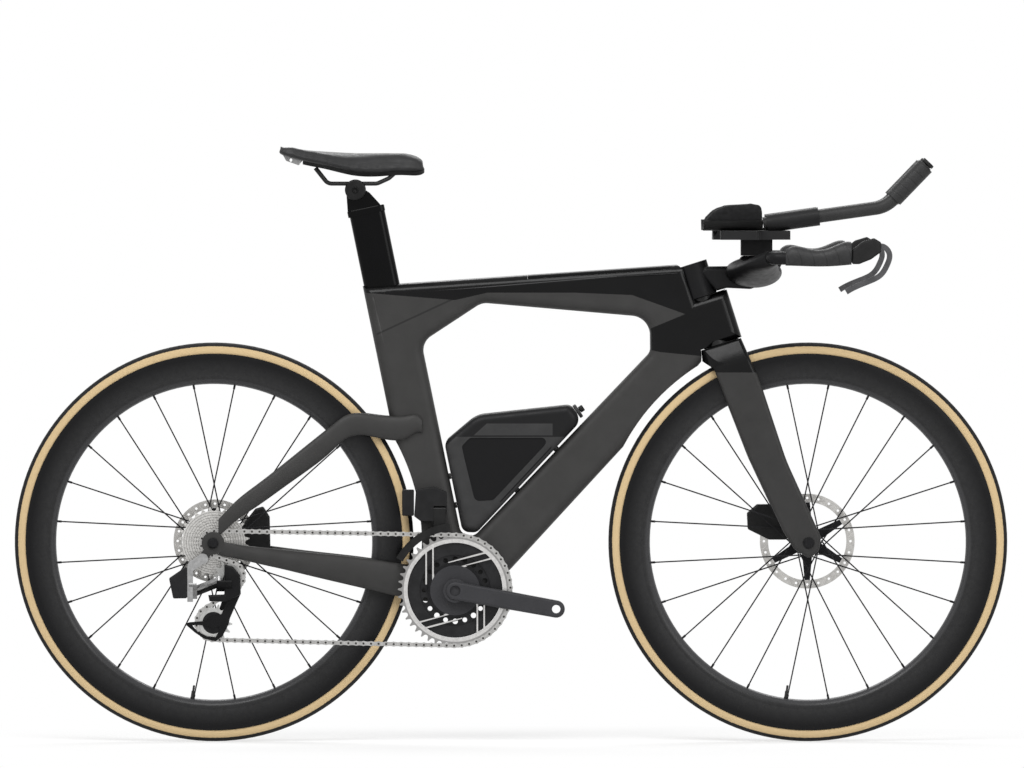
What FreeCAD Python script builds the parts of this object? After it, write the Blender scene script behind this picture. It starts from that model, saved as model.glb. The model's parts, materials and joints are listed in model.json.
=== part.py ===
import FreeCAD, Part
import math
import os
import Sketcher
from FreeCAD import Placement, Rotation, Vector

# A time trial bicycle, drawn as it is seen from its drive side.
# In every drawing x runs forward, y runs up, and z comes out towards the drive side.
# One turn about x then stands the drawing upright: forward is X, left is Y, up is Z.

SIZES = {
    # the whole bicycle
    "wheelbase": 1000.0,
    "tyre_radius": 336.0,
    "chainstay_length": 414.0,
    "bracket_drop": 80.0,
    "seat_angle": 78.4,
    "head_angle": 72.5,
    "fork_offset": 45.0,
    "running_gap": 0.05,
    "seat_gap": 0.3,
    "clear_gap": 1.5,
    "overrun": 400.0,
    "closeness": 0.000001,
    # tyres and rims
    "tyre_half_width": 13.0,
    "tyre_wall": 2.4,
    "rim_depth": 51.0,
    "rim_half_width": 15.0,
    "rim_lip": 2.6,
    "rim_well": 8.0,
    "rim_bulge_radius": 95.0,
    "rim_nose_radius": 14.5,
    # spokes and hubs
    "spoke_count": 24,
    "spoke_width": 2.3,
    "spoke_thickness": 1.0,
    "spoke_lean": 62.0,
    "nipple_radius": 1.9,
    "nipple_length": 11.0,
    "nipple_hole_radius": 2.6,
    "axle_radius": 6.0,
    "axle_head": 6.0,
    "front_half_spacing": 50.0,
    "rear_half_spacing": 71.0,
    "hub_core_radius": 11.5,
    "hub_cap_radius": 9.5,
    "hub_cap_length": 7.0,
    "flange_radius": 21.0,
    "flange_thickness": 5.0,
    "flange_spread": 3.4,
    "front_left_flange": 21.0,
    "front_right_flange": 32.0,
    "rear_left_flange": 32.0,
    "rear_right_flange": 16.0,
    # disc brakes
    "front_rotor_radius": 80.0,
    "rear_rotor_radius": 70.0,
    "rotor_thickness": 1.8,
    "rotor_band": 14.0,
    "rotor_slot_count": 24,
    "rotor_slot_radius": 2.1,
    "front_rotor_place": 39.5,
    "rear_rotor_place": 55.5,
    "carrier_arms": 6,
    "carrier_arm_width": 9.0,
    "carrier_thickness": 4.0,
    "carrier_hub_radius": 19.0,
    "rotor_seat_wall": 4.0,
    "fork_tip_thickness": 8.0,
    "dropout_thickness": 9.0,
    # chain and toothed wheels
    "chain_pitch": 12.7,
    "roller_radius": 3.86,
    "pin_radius": 1.8,
    "plate_end_radius": 4.2,
    "plate_waist": 3.2,
    "plate_thickness": 0.75,
    "chain_inner_width": 2.2,
    "chain_play": 0.06,
    "guide_back": 27.0,
    "guide_drop": 56.0,
    "cage_length": 82.5,
    "cage_swing": 18.0,
    "tooth_seat_gap": 0.14,
    "tooth_rise": 3.3,
    "tooth_tip_width": 2.0,
    "tooth_thickness": 1.9,
    "sprocket_thickness": 1.6,
    "sprocket_spacing": 3.65,
    "smallest_sprocket_place": 65.0,
    "freehub_radius": 15.5,
    "chainring_place": 47.5,
    "inner_ring_place": 40.5,
    "outer_ring_teeth": 46,
    "inner_ring_teeth": 33,
    "ring_band": 13.0,
    "ring_panel_band": 20.0,
    "ring_panel_thickness": 1.6,
    "ring_panel_place": 44.2,
    "ring_arm_width": 14.5,
    "ring_arm_wall": 3.0,
    "ring_arm_offset": 36.0,
    "ring_arm_thickness": 3.0,
    # cranks
    "crank_length": 172.5,
    "crank_fall": 10.3,
    "crank_thickness": 14.0,
    "crank_face": 73.0,
    "crank_root_width": 31.0,
    "crank_tip_radius": 14.5,
    "crank_round": 4.5,
    "pedal_thread_radius": 7.1,
    "spindle_radius": 14.5,
    "spider_radius": 42.0,
    "spider_thickness": 7.0,
    "spider_place": 43.6,
    "crank_boss_radius": 20.0,
    "crank_cap_depth": 5.0,
    "crank_cap_radius": 9.0,
    "bracket_shell_radius": 29.0,
    "bracket_half_width": 42.0,
    "bracket_cup_radius": 22.0,
    "bracket_cup_depth": 14.0,
    # rear derailleur
    "cage_half_gap": 3.6,
    "cage_plate_thickness": 1.6,
    "cage_bolt_radius": 2.5,
    "cage_pivot_radius": 5.0,
    "cage_pivot_length": 9.0,
    "pulley_thickness": 1.9,
    "pulley_hub_radius": 9.0,
    "hanger_back": 17.0,
    "hanger_drop": 26.0,
    "hanger_radius": 9.0,
    "hanger_arm_width": 9.0,
    "hanger_arm_thickness": 8.0,
    "hanger_arm_drop": 72.0,
    "link_length": 50.0,
    "link_swing": 34.0,
    "link_slant": 36.87,
    "link_spread": 14.0,
    "link_boss_radius": 4.0,
    "link_boss_length": 9.0,
    "link_pin_radius": 2.0,
    "link_bar_width": 6.0,
    "link_bar_height": 7.0,
    "link_plate_thickness": 3.0,
    "link_pivot_back": 31.0,
    "link_pivot_drop": 77.0,
    "link_pivot_out": 4.6,
    "knuckle_depth": 13.5,
    "knuckle_size": 40.0,
    "battery_height": 54.0,
    "battery_depth": 24.0,
    # frame
    "seat_tube_length": 532.0,
    "crown_height": 363.0,
    "head_tube_length": 83.5,
    "frame_half_width": 21.0,
    "frame_round": 16.0,
    "wheel_recess": 14.0,
    "stem_well_radius": 27.0,
    "crown_recess_radius": 36.0,
    "steerer_radius": 14.3,
    "head_bearing_radius": 18.5,
    "head_bearing_height": 8.0,
    "dropout_radius": 19.0,
    "hanger_bolt_radius": 4.0,
    "post_length": 60.0,
    "post_half_width": 13.5,
    "post_rear": 48.0,
    "post_round": 12.0,
    "post_insert": 150.0,
    "post_travel": 52.0,
    "lid_depth": 7.0,
    "wedge_length": 8.0,
    "wedge_half_width": 8.0,
    "wedge_height": 34.0,
    "wedge_drop": 10.0,
    "hanger_tab_width": 15.0,
    "bracket_core_radius": 17.0,
    # fork
    "fork_round": 6.0,
    "crown_rear_radius": 34.0,
    "fork_gap_top": 345.0,
    "steerer_rise": 44.0,
    "tip_face_radius": 10.0,
    # base bar and stem
    "stem_radius": 25.0,
    "stem_height": 59.0,
    "neck_size": 135.0,
    "neck_half_width": 24.0,
    "neck_round": 8.0,
    "bar_half_width": 200.0,
    "bar_tube_radius": 11.0,
    "bar_bend_radius": 16.0,
    "grip_start": 135.0,
    "grip_end": 244.7,
    "grip_radius": 13.2,
    "bar_height": 67.0,
    "hood_size": 50.0,
    "hood_half_width": 11.0,
    "hood_round": 4.0,
    "lever_half_thickness": 4.5,
    "lever_half_width": 4.6,
    "lever_size": 90.0,
    "lever_pin_radius": 2.2,
    "lever_pivot_ahead": 45.4,
    "lever_pivot_up": 20.0,
    # arm rests and extensions
    "riser_start": 64.0,
    "riser_length": 53.0,
    "riser_half_width": 20.0,
    "riser_low": 70.0,
    "bridge_low": 97.0,
    "bridge_thickness": 15.0,
    "bridge_start": 14.0,
    "bridge_size": 118.0,
    "bridge_round": 5.0,
    "pad_out": 92.0,
    "pad_start": -1.0,
    "pad_length": 100.0,
    "cup_radius": 48.0,
    "cup_wall": 3.5,
    "cup_spread": 48.0,
    "pad_spread": 84.0,
    "pad_thickness": 11.0,
    "extension_out": 55.0,
    "extension_start": 103.0,
    "extension_low": 123.5,
    "extension_rise": 8.0,
    "extension_length": 205.7,
    "extension_bend": 50.0,
    "extension_tip_rise": 46.0,
    "extension_tip_length": 97.0,
    "extension_radius": 11.1,
    "sleeve_radius": 15.5,
    "sleeve_start": 4.0,
    "sleeve_length": 88.0,
    "extension_grip_radius": 15.0,
    "extension_grip_length": 78.0,
    "button_radius": 11.0,
    "button_length": 6.0,
    "button_travel": 1.5,
    "button_stem_radius": 3.0,
    "button_stem_length": 8.0,
    "bridge_bolt_radius": 2.5,
    "bridge_bolt_head_radius": 4.25,
    "bridge_bolt_head_height": 5.0,
    "bridge_bolt_length": 24.0,
    "bridge_bolt_half_spacing": 14.0,
    "socket_across": 4.0,
    "socket_depth": 2.5,
    # seat post and saddle
    "post_rise": 123.0,
    "clamp_up": 693.0,
    "clamp_back": 29.4,
    "clamp_radius": 16.0,
    "clamp_half_width": 15.0,
    "clamp_bolt_radius": 3.0,
    "ear_width": 13.0,
    "ear_round": 3.0,
    "rail_radius": 3.5,
    "rail_rise": 10.5,
    "rail_out": 22.0,
    "rail_bend": 14.0,
    "saddle_length": 244.0,
    "saddle_shell_thickness": 7.0,
    "saddle_shell_inset": 7.0,
    "tail_half_width": 42.0,
    "tail_hole_radius": 3.0,
    # bottle
    "bottle_size": 242.0,
    "bottle_half_width": 27.0,
    "bottle_round": 13.0,
    "panel_depth": 2.0,
    "boss_radius": 5.0,
    "boss_length": 24.0,
    "cap_radius": 12.5,
    "cap_length": 6.0,
    "valve_stem_radius": 3.0,
    "valve_head_radius": 5.5,
    "valve_head_length": 8.0,
    # front derailleur
    "mover_size": 60.0,
    "mover_reach": 44.0,
    "mover_round": 2.0,
    "mover_pin_radius": 1.8,
    "mover_barrel_radius": 4.2,
    "mover_pivot_up": 136.0,
    "mover_pivot_out": 39.0,
    "mover_pivot_back": 36.0,
    "mover_barrel_length": 20.0,
    "mover_battery_length": 20.0,
    "mover_battery_height": 44.0,
    "mover_battery_low": 125.0,
    "mover_battery_in": 24.0,
    "mover_battery_width": 18.0,
    "guide_inner_radius": 100.5,
    "guide_outer_radius": 113.0,
    "guide_plate_thickness": 1.2,
    "guide_inner_place": 42.6,
    "guide_outer_place": 54.5,
    "guide_start_angle": 95.0,
    "guide_sweep_angle": 56.0,
    "guide_join_angle": 7.0,
    # brake calipers
    "caliper_size": 68.0,
    "caliper_half_width": 12.5,
    "caliper_round": 4.0,
    "rotor_slot_half_width": 1.6,
    "rotor_slot_margin": 2.0,
    "carrier_slot_half_width": 3.2,
}

CASSETTE_TEETH = [10, 11, 12, 13, 14, 15, 16, 17, 19, 21, 24, 28]
CHAIN_SPROCKET = 0
GUIDE_TEETH = 12
TENSION_TEETH = 14

document = FreeCAD.newDocument("time_trial_bicycle")
sheet = document.addObject("Spreadsheet::Sheet", "dims")
for row, (alias, value) in enumerate(SIZES.items(), start=1):
    sheet.set("A%d" % row, alias)
    sheet.set("B%d" % row, str(value))
    sheet.setAlias("B%d" % row, alias)
document.recompute()


class Size:
    """A sheet value with the expression that follows it, so that a drawing stays bound to its cell."""

    def __init__(self, value, text):
        self.value = value
        self.text = text

    def __float__(self):
        return float(self.value)

    def joined(self, sign, other, value):
        text = other.text if isinstance(other, Size) else repr(other)
        return Size(value, "(%s %s %s)" % (self.text, sign, text))

    def __add__(self, other):
        return self.joined("+", other, float(self) + float(other))

    def __sub__(self, other):
        return self.joined("-", other, float(self) - float(other))

    def __mul__(self, other):
        return self.joined("*", other, float(self) * float(other))

    def __truediv__(self, other):
        return self.joined("/", other, float(self) / float(other))

    def __neg__(self):
        return Size(-float(self), "(-1 * %s)" % self.text)


class Values:
    """The sheet read either as plain numbers or as sizes that carry their expression."""

    def __init__(self, bound):
        self.bound = bound

    def __getattr__(self, alias):
        value = getattr(sheet, alias)
        return Size(value, "dims." + alias) if self.bound else float(value)


mm = Values(False)
cell = Values(True)
subparts = []

# Points that the whole bicycle hangs on
rear_axle = Vector(-mm.wheelbase / 2, mm.tyre_radius, 0)
front_axle = Vector(mm.wheelbase / 2, mm.tyre_radius, 0)
bracket_reach = math.sqrt(mm.chainstay_length ** 2 - mm.bracket_drop ** 2)
bracket = rear_axle + Vector(bracket_reach, -mm.bracket_drop, 0)
seat_lean = math.radians(mm.seat_angle)
seat_up = Vector(-math.cos(seat_lean), math.sin(seat_lean), 0)
seat_forward = Vector(math.sin(seat_lean), math.cos(seat_lean), 0)
head_lean = math.radians(mm.head_angle)
steer_up = Vector(-math.cos(head_lean), math.sin(head_lean), 0)
steer_forward = Vector(math.sin(head_lean), math.cos(head_lean), 0)
steer_foot = front_axle - steer_forward * mm.fork_offset


def upright(point=Vector(0, 0, 0), turn=0.0):
    """The placement that stands a drawing upright at a point of the side view, turned in its plane."""
    stand = Placement(Vector(0, 0, 0), Rotation(Vector(1, 0, 0), 90))
    return stand.multiply(Placement(point, Rotation(Vector(0, 0, 1), turn)))


def feature(label, shape, placement):
    """A sub-part whose shape is set in code."""
    item = document.addObject("Part::Feature", label)
    item.Label = label
    item.Shape = shape
    item.Placement = placement
    subparts.append(item)
    return item


def new_body(label, placement):
    """A sub-part that is drawn with sketches and features."""
    body = document.addObject("PartDesign::Body", label)
    body.Label = label
    body.Placement = placement
    subparts.append(body)
    return body


def new_sketch(body, name, plane, offset=None):
    """A sketch on one of the body's own planes, lifted off it by a bound offset."""
    sketch = body.newObject("Sketcher::SketchObject", body.Name + "_" + name)
    support = [face for face in body.Origin.OriginFeatures if face.Role == plane][0]
    sketch.AttachmentSupport = [(support, "")]
    sketch.MapMode = "FlatFace"
    if offset is not None:
        sketch.setExpression("AttachmentOffset.Base.z", offset.text)
    return sketch


def hold(sketch, kind, edge, end, size):
    """Pin one coordinate of an edge's end to a bound size, or to the axis when it is zero."""
    if not isinstance(size, Size):
        axis = -2 if kind == "DistanceX" else -1
        sketch.addConstraint(Sketcher.Constraint("PointOnObject", edge, end, axis))
        return
    made = sketch.addConstraint(Sketcher.Constraint(kind, -1, 1, edge, end, float(size)))
    sketch.setExpression("Constraints[%d]" % made, size.text)


def outline(sketch, corners):
    """A closed outline run anticlockwise: straight edges, or arcs where a corner carries a radius.

    An arc bulges out of the outline; a negative radius makes it bulge into it.
    """
    count = len(corners)
    points = [Vector(float(corner[0]), float(corner[1]), 0) for corner in corners]
    first_ends = []
    for place, corner in enumerate(corners):
        start = points[place]
        end = points[(place + 1) % count]
        inward = len(corner) == 3 and float(corner[2]) < 0
        first_ends.append(2 if inward else 1)
        if len(corner) == 2:
            sketch.addGeometry(Part.LineSegment(start, end))
            continue
        if inward:
            start, end = end, start
        chord = end - start
        radius = abs(float(corner[2]))
        rise = radius - math.sqrt(radius ** 2 - (chord.Length / 2) ** 2)
        bulge = Vector(chord.y, -chord.x, 0).normalize() * rise
        sketch.addGeometry(Part.Arc(start, (start + end) / 2 + bulge, end))
    for place, corner in enumerate(corners):
        before = (place - 1) % count
        last_end = 3 - first_ends[before]
        sketch.addConstraint(Sketcher.Constraint("Coincident", before, last_end, place, first_ends[place]))
        hold(sketch, "DistanceX", place, first_ends[place], corner[0])
        hold(sketch, "DistanceY", place, first_ends[place], corner[1])
        if len(corner) == 3:
            radius = -corner[2] if float(corner[2]) < 0 else corner[2]
            made = sketch.addConstraint(Sketcher.Constraint("Radius", place, float(radius)))
            sketch.setExpression("Constraints[%d]" % made, radius.text)


def circle(sketch, radius, across=0, up=0):
    """A circle with its radius and its centre bound."""
    centre = Vector(float(across), float(up), 0)
    edge = sketch.addGeometry(Part.Circle(centre, Vector(0, 0, 1), float(radius)))
    made = sketch.addConstraint(Sketcher.Constraint("Radius", edge, float(radius)))
    sketch.setExpression("Constraints[%d]" % made, radius.text)
    if not isinstance(across, Size) and not isinstance(up, Size):
        sketch.addConstraint(Sketcher.Constraint("Coincident", edge, 3, -1, 1))
        return
    hold(sketch, "DistanceX", edge, 3, across)
    hold(sketch, "DistanceY", edge, 3, up)


def turned(body, name, corners):
    """A full turn of an outline, given as radius and place along the axle, about the body's z axis."""
    sketch = new_sketch(body, name, "XZ_Plane")
    outline(sketch, corners)
    revolution = body.newObject("PartDesign::Revolution", body.Name + "_" + name + "_turn")
    revolution.Profile = sketch
    revolution.ReferenceAxis = (sketch, ["V_Axis"])
    revolution.Angle = 360
    return revolution


def padded(body, name, sketch, length, through=False):
    """A pad of a sketch along the body's z axis, or to both sides of it."""
    pad = body.newObject("PartDesign::Pad", body.Name + "_" + name + "_pad")
    pad.Profile = sketch
    pad.setExpression("Length", length.text)
    pad.Midplane = through
    return pad


def pocketed(body, name, sketch):
    """A pocket of a sketch through the whole body, to both sides."""
    pocket = body.newObject("PartDesign::Pocket", body.Name + "_" + name + "_pocket")
    pocket.Profile = sketch
    pocket.setExpression("Length", cell.overrun.text)
    pocket.Midplane = True
    return pocket


def around(body, feature_made, count):
    """A feature repeated around the body's z axis."""
    pattern = body.newObject("PartDesign::PolarPattern", feature_made.Name + "_around")
    pattern.Originals = [feature_made]
    pattern.Axis = (feature_made.Profile[0], ["N_Axis"])
    pattern.Angle = 360
    pattern.setExpression("Occurrences", count.text)
    body.Tip = pattern
    return pattern


def rod(start, end, radius):
    """A round bar between two points."""
    return Part.makeCylinder(radius, (end - start).Length, start, end - start)


def ring(outer, inner, low, high):
    """A flat ring about the z axis between two places along it."""
    blank = Part.makeCylinder(outer, high - low, Vector(0, 0, low))
    return blank.cut(Part.makeCylinder(inner, high - low, Vector(0, 0, low)))


def rounded_wire(corners):
    """A closed flat outline of points, each with the radius its corner is rounded to."""
    count = len(corners)
    ends = []
    for place, (point, radius) in enumerate(corners):
        back = (corners[place - 1][0] - point).normalize()
        ahead = (corners[(place + 1) % count][0] - point).normalize()
        if radius == 0:
            ends.append((point, None, point))
            continue
        half = back.getAngle(ahead) / 2
        middle = (back + ahead).normalize()
        nearest = point + middle * (radius / math.sin(half) - radius)
        reach = radius / math.tan(half)
        ends.append((point + back * reach, nearest, point + ahead * reach))
    edges = []
    for place in range(count):
        start, nearest, end = ends[place]
        if nearest is not None:
            edges.append(Part.Arc(start, nearest, end).toShape())
        following = ends[(place + 1) % count][0]
        if (following - end).Length > mm.closeness:
            edges.append(Part.LineSegment(end, following).toShape())
    return Part.Wire(edges)


# Shares of the tyre's half width: how far the casing's ends sit below its centre, and out from it
BEAD_DROP_SHARE = 0.44
BEAD_OUT_SHARE = 0.898
LINING_DROP_SHARE = 0.71
LINING_OUT_SHARE = 0.7042
# Shares of the rim: half width at the brake shoulder, at the start of the nose, and the nose's height
RIM_LIP_SHARE = 0.893
RIM_NECK_SHARE = 0.84
RIM_NOSE_SHARE = 0.31
# Share of the nipple that sits inside the rim
NIPPLE_IN_SHARE = 0.4

casing_centre = cell.tyre_radius - cell.tyre_half_width
rim_outer = casing_centre - cell.tyre_half_width * BEAD_DROP_SHARE - cell.seat_gap
rim_inner = rim_outer - cell.rim_depth
rim_well_floor = rim_outer - cell.rim_well
rim_lip_out = cell.rim_half_width * RIM_LIP_SHARE
rim_lip_in = rim_lip_out - cell.rim_lip


def make_tyre(label, axle):
    """A tyre: an open casing whose two beads stand in the rim's well."""
    body = new_body(label, upright(axle))
    lining = cell.tyre_half_width - cell.tyre_wall
    bead_radius = rim_well_floor + cell.seat_gap
    shoulder = casing_centre - cell.tyre_half_width * BEAD_DROP_SHARE
    shoulder_out = cell.tyre_half_width * BEAD_OUT_SHARE
    bead_out = rim_lip_in - cell.seat_gap
    lining_end = casing_centre - lining * LINING_DROP_SHARE
    lining_out = lining * LINING_OUT_SHARE
    crown = casing_centre + cell.tyre_half_width
    lining_crown = casing_centre + lining
    turned(body, "casing", [
        (bead_radius, -lining_out),
        (bead_radius, -bead_out),
        (shoulder, -bead_out),
        (shoulder, -shoulder_out, cell.tyre_half_width),
        (crown, 0, cell.tyre_half_width),
        (shoulder, shoulder_out),
        (shoulder, bead_out),
        (bead_radius, bead_out),
        (bead_radius, lining_out),
        (lining_end, lining_out, -lining),
        (lining_crown, 0, -lining),
        (lining_end, -lining_out),
    ])


def make_rim(label, axle):
    """A deep rim with a well for the tyre and a hole in its nose for every spoke."""
    first_spoke = 180.0 / mm.spoke_count
    body = new_body(label, upright(axle, first_spoke))
    neck = rim_inner + cell.rim_depth * RIM_NOSE_SHARE
    neck_out = cell.rim_half_width * RIM_NECK_SHARE
    turned(body, "section", [
        (rim_inner, 0, cell.rim_nose_radius),
        (neck, -neck_out, cell.rim_bulge_radius),
        (rim_outer, -rim_lip_out),
        (rim_outer, -rim_lip_in),
        (rim_well_floor, -rim_lip_in),
        (rim_well_floor, rim_lip_in),
        (rim_outer, rim_lip_in),
        (rim_outer, rim_lip_out, cell.rim_bulge_radius),
        (neck, neck_out, cell.rim_nose_radius),
    ])
    sketch = new_sketch(body, "hole", "YZ_Plane")
    circle(sketch, cell.nipple_hole_radius)
    hole = body.newObject("PartDesign::Pocket", body.Name + "_hole_pocket")
    hole.Profile = sketch
    hole.Reversed = True
    hole.setExpression("Length", (rim_inner + cell.nipple_length * 0.5).text)
    pattern = body.newObject("PartDesign::PolarPattern", body.Name + "_holes")
    pattern.Originals = [hole]
    axis = [line for line in body.Origin.OriginFeatures if line.Role == "Z_Axis"][0]
    pattern.Axis = (axis, [""])
    pattern.Angle = 360
    pattern.setExpression("Occurrences", cell.spoke_count.text)
    body.Tip = pattern


def make_spokes(label, axle, left_flange, right_flange):
    """Crossed bladed spokes, each with its nipple, running from a flange to the middle of the rim."""
    count = int(mm.spoke_count)
    spokes = []
    lean = math.radians(mm.spoke_lean)
    stand_off = mm.flange_radius + mm.spoke_width / 2 + mm.running_gap * 4
    for place in range(count):
        rim_angle = math.radians(360.0 / count * (place + 0.5))
        side = 1 if place % 2 == 0 else -1
        way = 1 if (place // 2) % 2 == 0 else -1
        flange = right_flange if side > 0 else -left_flange
        hub_angle = rim_angle + lean * way
        along = flange + way * mm.flange_spread / 2
        start = Vector(math.cos(hub_angle) * stand_off, math.sin(hub_angle) * stand_off, along)
        outward = Vector(math.cos(rim_angle), math.sin(rim_angle), 0)
        entry = outward * float(rim_inner)
        run = (entry - start).normalize()
        inside = mm.nipple_length * NIPPLE_IN_SHARE
        nipple_start = entry - run * (mm.nipple_length - inside)
        across = run.cross(Vector(0, 0, 1)).normalize()
        blade = Part.Ellipse(start + across * mm.spoke_width / 2,
                             start + across.cross(run) * mm.spoke_thickness / 2, start)
        face = Part.Face(Part.Wire([blade.toShape()]))
        shaft = face.extrude(nipple_start - start)
        nipple = rod(nipple_start, entry + run * inside, mm.nipple_radius)
        spokes.append(shaft.fuse(nipple).removeSplitter())
    feature(label, Part.makeCompound(spokes), upright(axle))


def make_hub(label, axle, half_spacing, left_flange, right_flange, drive_end):
    """A hub shell that runs on the through axle, with a flange for each side's spokes."""
    body = new_body(label, upright(axle))
    end = half_spacing - cell.seat_gap
    bore = cell.axle_radius + cell.running_gap
    half = cell.flange_thickness / 2
    seat = cell.carrier_hub_radius - cell.rotor_seat_wall
    turned(body, "shell", [
        (bore, -end),
        (cell.hub_cap_radius, -end),
        (cell.hub_cap_radius, -(end - cell.hub_cap_length)),
        (seat, -(end - cell.hub_cap_length)),
        (seat, -(left_flange + half)),
        (cell.flange_radius, -(left_flange + half)),
        (cell.flange_radius, -(left_flange - half)),
        (cell.hub_core_radius, -(left_flange - half - cell.flange_thickness)),
        (cell.hub_core_radius, right_flange - half - cell.flange_thickness),
        (cell.flange_radius, right_flange - half),
        (cell.flange_radius, right_flange + half),
        (cell.hub_cap_radius, right_flange + half + cell.flange_thickness / 2),
        (cell.hub_cap_radius, drive_end),
        (bore, drive_end),
    ])


def make_rotor(label, axle, radius, place):
    """A brake disc's steel band with its vents."""
    body = new_body(label, upright(axle))
    low = -(place + cell.rotor_thickness / 2)
    band = new_sketch(body, "band", "XY_Plane", low)
    circle(band, radius)
    circle(band, radius - cell.rotor_band)
    padded(body, "band", band, cell.rotor_thickness)
    vent = new_sketch(body, "vent", "XY_Plane", low)
    circle(vent, cell.rotor_slot_radius, radius - cell.rotor_band / 2)
    around(body, pocketed(body, "vent", vent), cell.rotor_slot_count)


def make_carrier(label, axle, radius, place):
    """The dark spider that carries a brake disc's band on the hub."""
    body = new_body(label, upright(axle, 90.0))
    low = -(place + cell.carrier_thickness / 2)
    core = new_sketch(body, "core", "XY_Plane", low)
    circle(core, cell.carrier_hub_radius)
    circle(core, cell.carrier_hub_radius - cell.rotor_seat_wall + cell.running_gap)
    padded(body, "core", core, cell.carrier_thickness)
    arm = new_sketch(body, "arm", "XY_Plane", low)
    root = cell.carrier_hub_radius - cell.rotor_seat_wall / 2
    tip = radius - cell.rotor_band - cell.seat_gap
    outline(arm, [
        (root, -cell.carrier_arm_width),
        (tip, -cell.carrier_arm_width / 2),
        (tip, cell.carrier_arm_width / 2),
        (root, cell.carrier_arm_width),
    ])
    around(body, padded(body, "arm", arm, cell.carrier_thickness), cell.carrier_arms)


def make_axle(label, axle, half_spacing, leg):
    """A through axle with a head against the drive-side dropout."""
    body = new_body(label, upright(axle))
    head_start = half_spacing + leg + cell.seat_gap
    turned(body, "shaft", [
        (0, -(half_spacing + leg)),
        (cell.axle_radius, -(half_spacing + leg)),
        (cell.axle_radius, head_start),
        (cell.axle_radius * 1.5, head_start),
        (cell.axle_radius * 1.5, head_start + cell.axle_head / 2),
        (cell.axle_radius, head_start + cell.axle_head),
        (0, head_start + cell.axle_head),
    ])


sprocket_count = len(CASSETTE_TEETH)
largest_sprocket_place = cell.smallest_sprocket_place - cell.sprocket_spacing * (sprocket_count - 1)
largest_sprocket_face = largest_sprocket_place - cell.sprocket_thickness / 2
for end_name, axle, half_spacing, left_flange, right_flange, rotor_radius, rotor_place, leg in (
    ("front", front_axle, cell.front_half_spacing, cell.front_left_flange, cell.front_right_flange,
     cell.front_rotor_radius, cell.front_rotor_place, cell.fork_tip_thickness),
    ("rear", rear_axle, cell.rear_half_spacing, cell.rear_left_flange, cell.rear_right_flange,
     cell.rear_rotor_radius, cell.rear_rotor_place, cell.dropout_thickness),
):
    make_tyre(end_name + "_tyre", axle)
    make_rim(end_name + "_rim", axle)
    make_spokes(end_name + "_spokes", axle, float(left_flange), float(right_flange))
    rear = end_name == "rear"
    drive_end = largest_sprocket_face - cell.seat_gap if rear else half_spacing - cell.seat_gap
    make_hub(end_name + "_hub", axle, half_spacing, left_flange, right_flange, drive_end)
    make_rotor(end_name + "_rotor", axle, rotor_radius, rotor_place)
    make_carrier(end_name + "_rotor_carrier", axle, rotor_radius, rotor_place)
    make_axle(end_name + "_axle", axle, half_spacing, leg)


# The chain's run: a closed line over the pitch circles of the toothed wheels
TOOTH_SEAT_SWEEP = 75.0
SOLVER_STEPS = 60
SWING_SEARCH = 40.0


def pitch_radius(teeth):
    """The radius of the circle that a toothed wheel's chain pins lie on."""
    return mm.chain_pitch / (2 * math.sin(math.pi / teeth))


guide_centre = rear_axle + Vector(mm.guide_back, -mm.guide_drop, 0)
chain_place = mm.smallest_sprocket_place - mm.sprocket_spacing * CHAIN_SPROCKET


def tension_centre(swing):
    """The lower pulley's centre, hung from the upper pulley by the cage at a swing angle."""
    lean = math.radians(swing)
    return guide_centre + Vector(-math.sin(lean), -math.cos(lean), 0) * mm.cage_length


def chain_wheels(swing):
    """Each wheel in the order the chain meets it: centre, pitch radius, turning way, place across."""
    return [
        (bracket, pitch_radius(mm.outer_ring_teeth), 1, mm.chainring_place),
        (tension_centre(swing), pitch_radius(TENSION_TEETH), 1, chain_place),
        (guide_centre, pitch_radius(GUIDE_TEETH), -1, chain_place),
        (rear_axle, pitch_radius(CASSETTE_TEETH[CHAIN_SPROCKET]), 1, chain_place),
    ]


def chain_run(swing):
    """The closed line as straight runs and arcs: each with its length and what finds a point on it."""
    wheels = chain_wheels(swing)
    tangents = []
    for place, (centre, radius, way, across) in enumerate(wheels):
        next_centre, next_radius, next_way, next_across = wheels[(place + 1) % len(wheels)]
        gap = next_centre - centre
        aside = next_radius * next_way - radius * way
        tilt = math.atan2(gap.y, gap.x) + math.asin(aside / gap.Length)
        right = Vector(math.sin(tilt), -math.cos(tilt), 0)
        tangents.append((centre - right * radius * way, next_centre - right * next_radius * next_way))
    pieces = []
    for place, (centre, radius, way, across) in enumerate(wheels):
        arrive = tangents[place - 1][1] - centre
        leave = tangents[place][0] - centre
        start = math.atan2(arrive.y, arrive.x)
        sweep = (start - math.atan2(leave.y, leave.x)) * way % (2 * math.pi)
        pieces.append(("arc", sweep * radius, centre, radius, way, across, start))
        begin, finish = tangents[place]
        next_across = wheels[(place + 1) % len(wheels)][3]
        pieces.append(("run", (finish - begin).Length, begin, finish, across, next_across))
    return pieces


def run_point(pieces, distance):
    """The point at a distance along the closed line, eased across where a run changes its place."""
    distance = distance % sum(piece[1] for piece in pieces)
    for piece in pieces:
        if distance <= piece[1]:
            break
        distance -= piece[1]
    if piece[0] == "arc":
        centre, radius, way, across, start = piece[2:]
        angle = start - way * distance / radius
        return Vector(centre.x + radius * math.cos(angle), centre.y + radius * math.sin(angle), across)
    begin, finish, across, next_across = piece[2:]
    share = distance / piece[1]
    point = begin + (finish - begin) * share
    point.z = across + (next_across - across) * share * share * (3 - 2 * share)
    return point


def flat_gap(first, second):
    """The distance between two points as the side view shows it."""
    return math.hypot(first.x - second.x, first.y - second.y)


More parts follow.
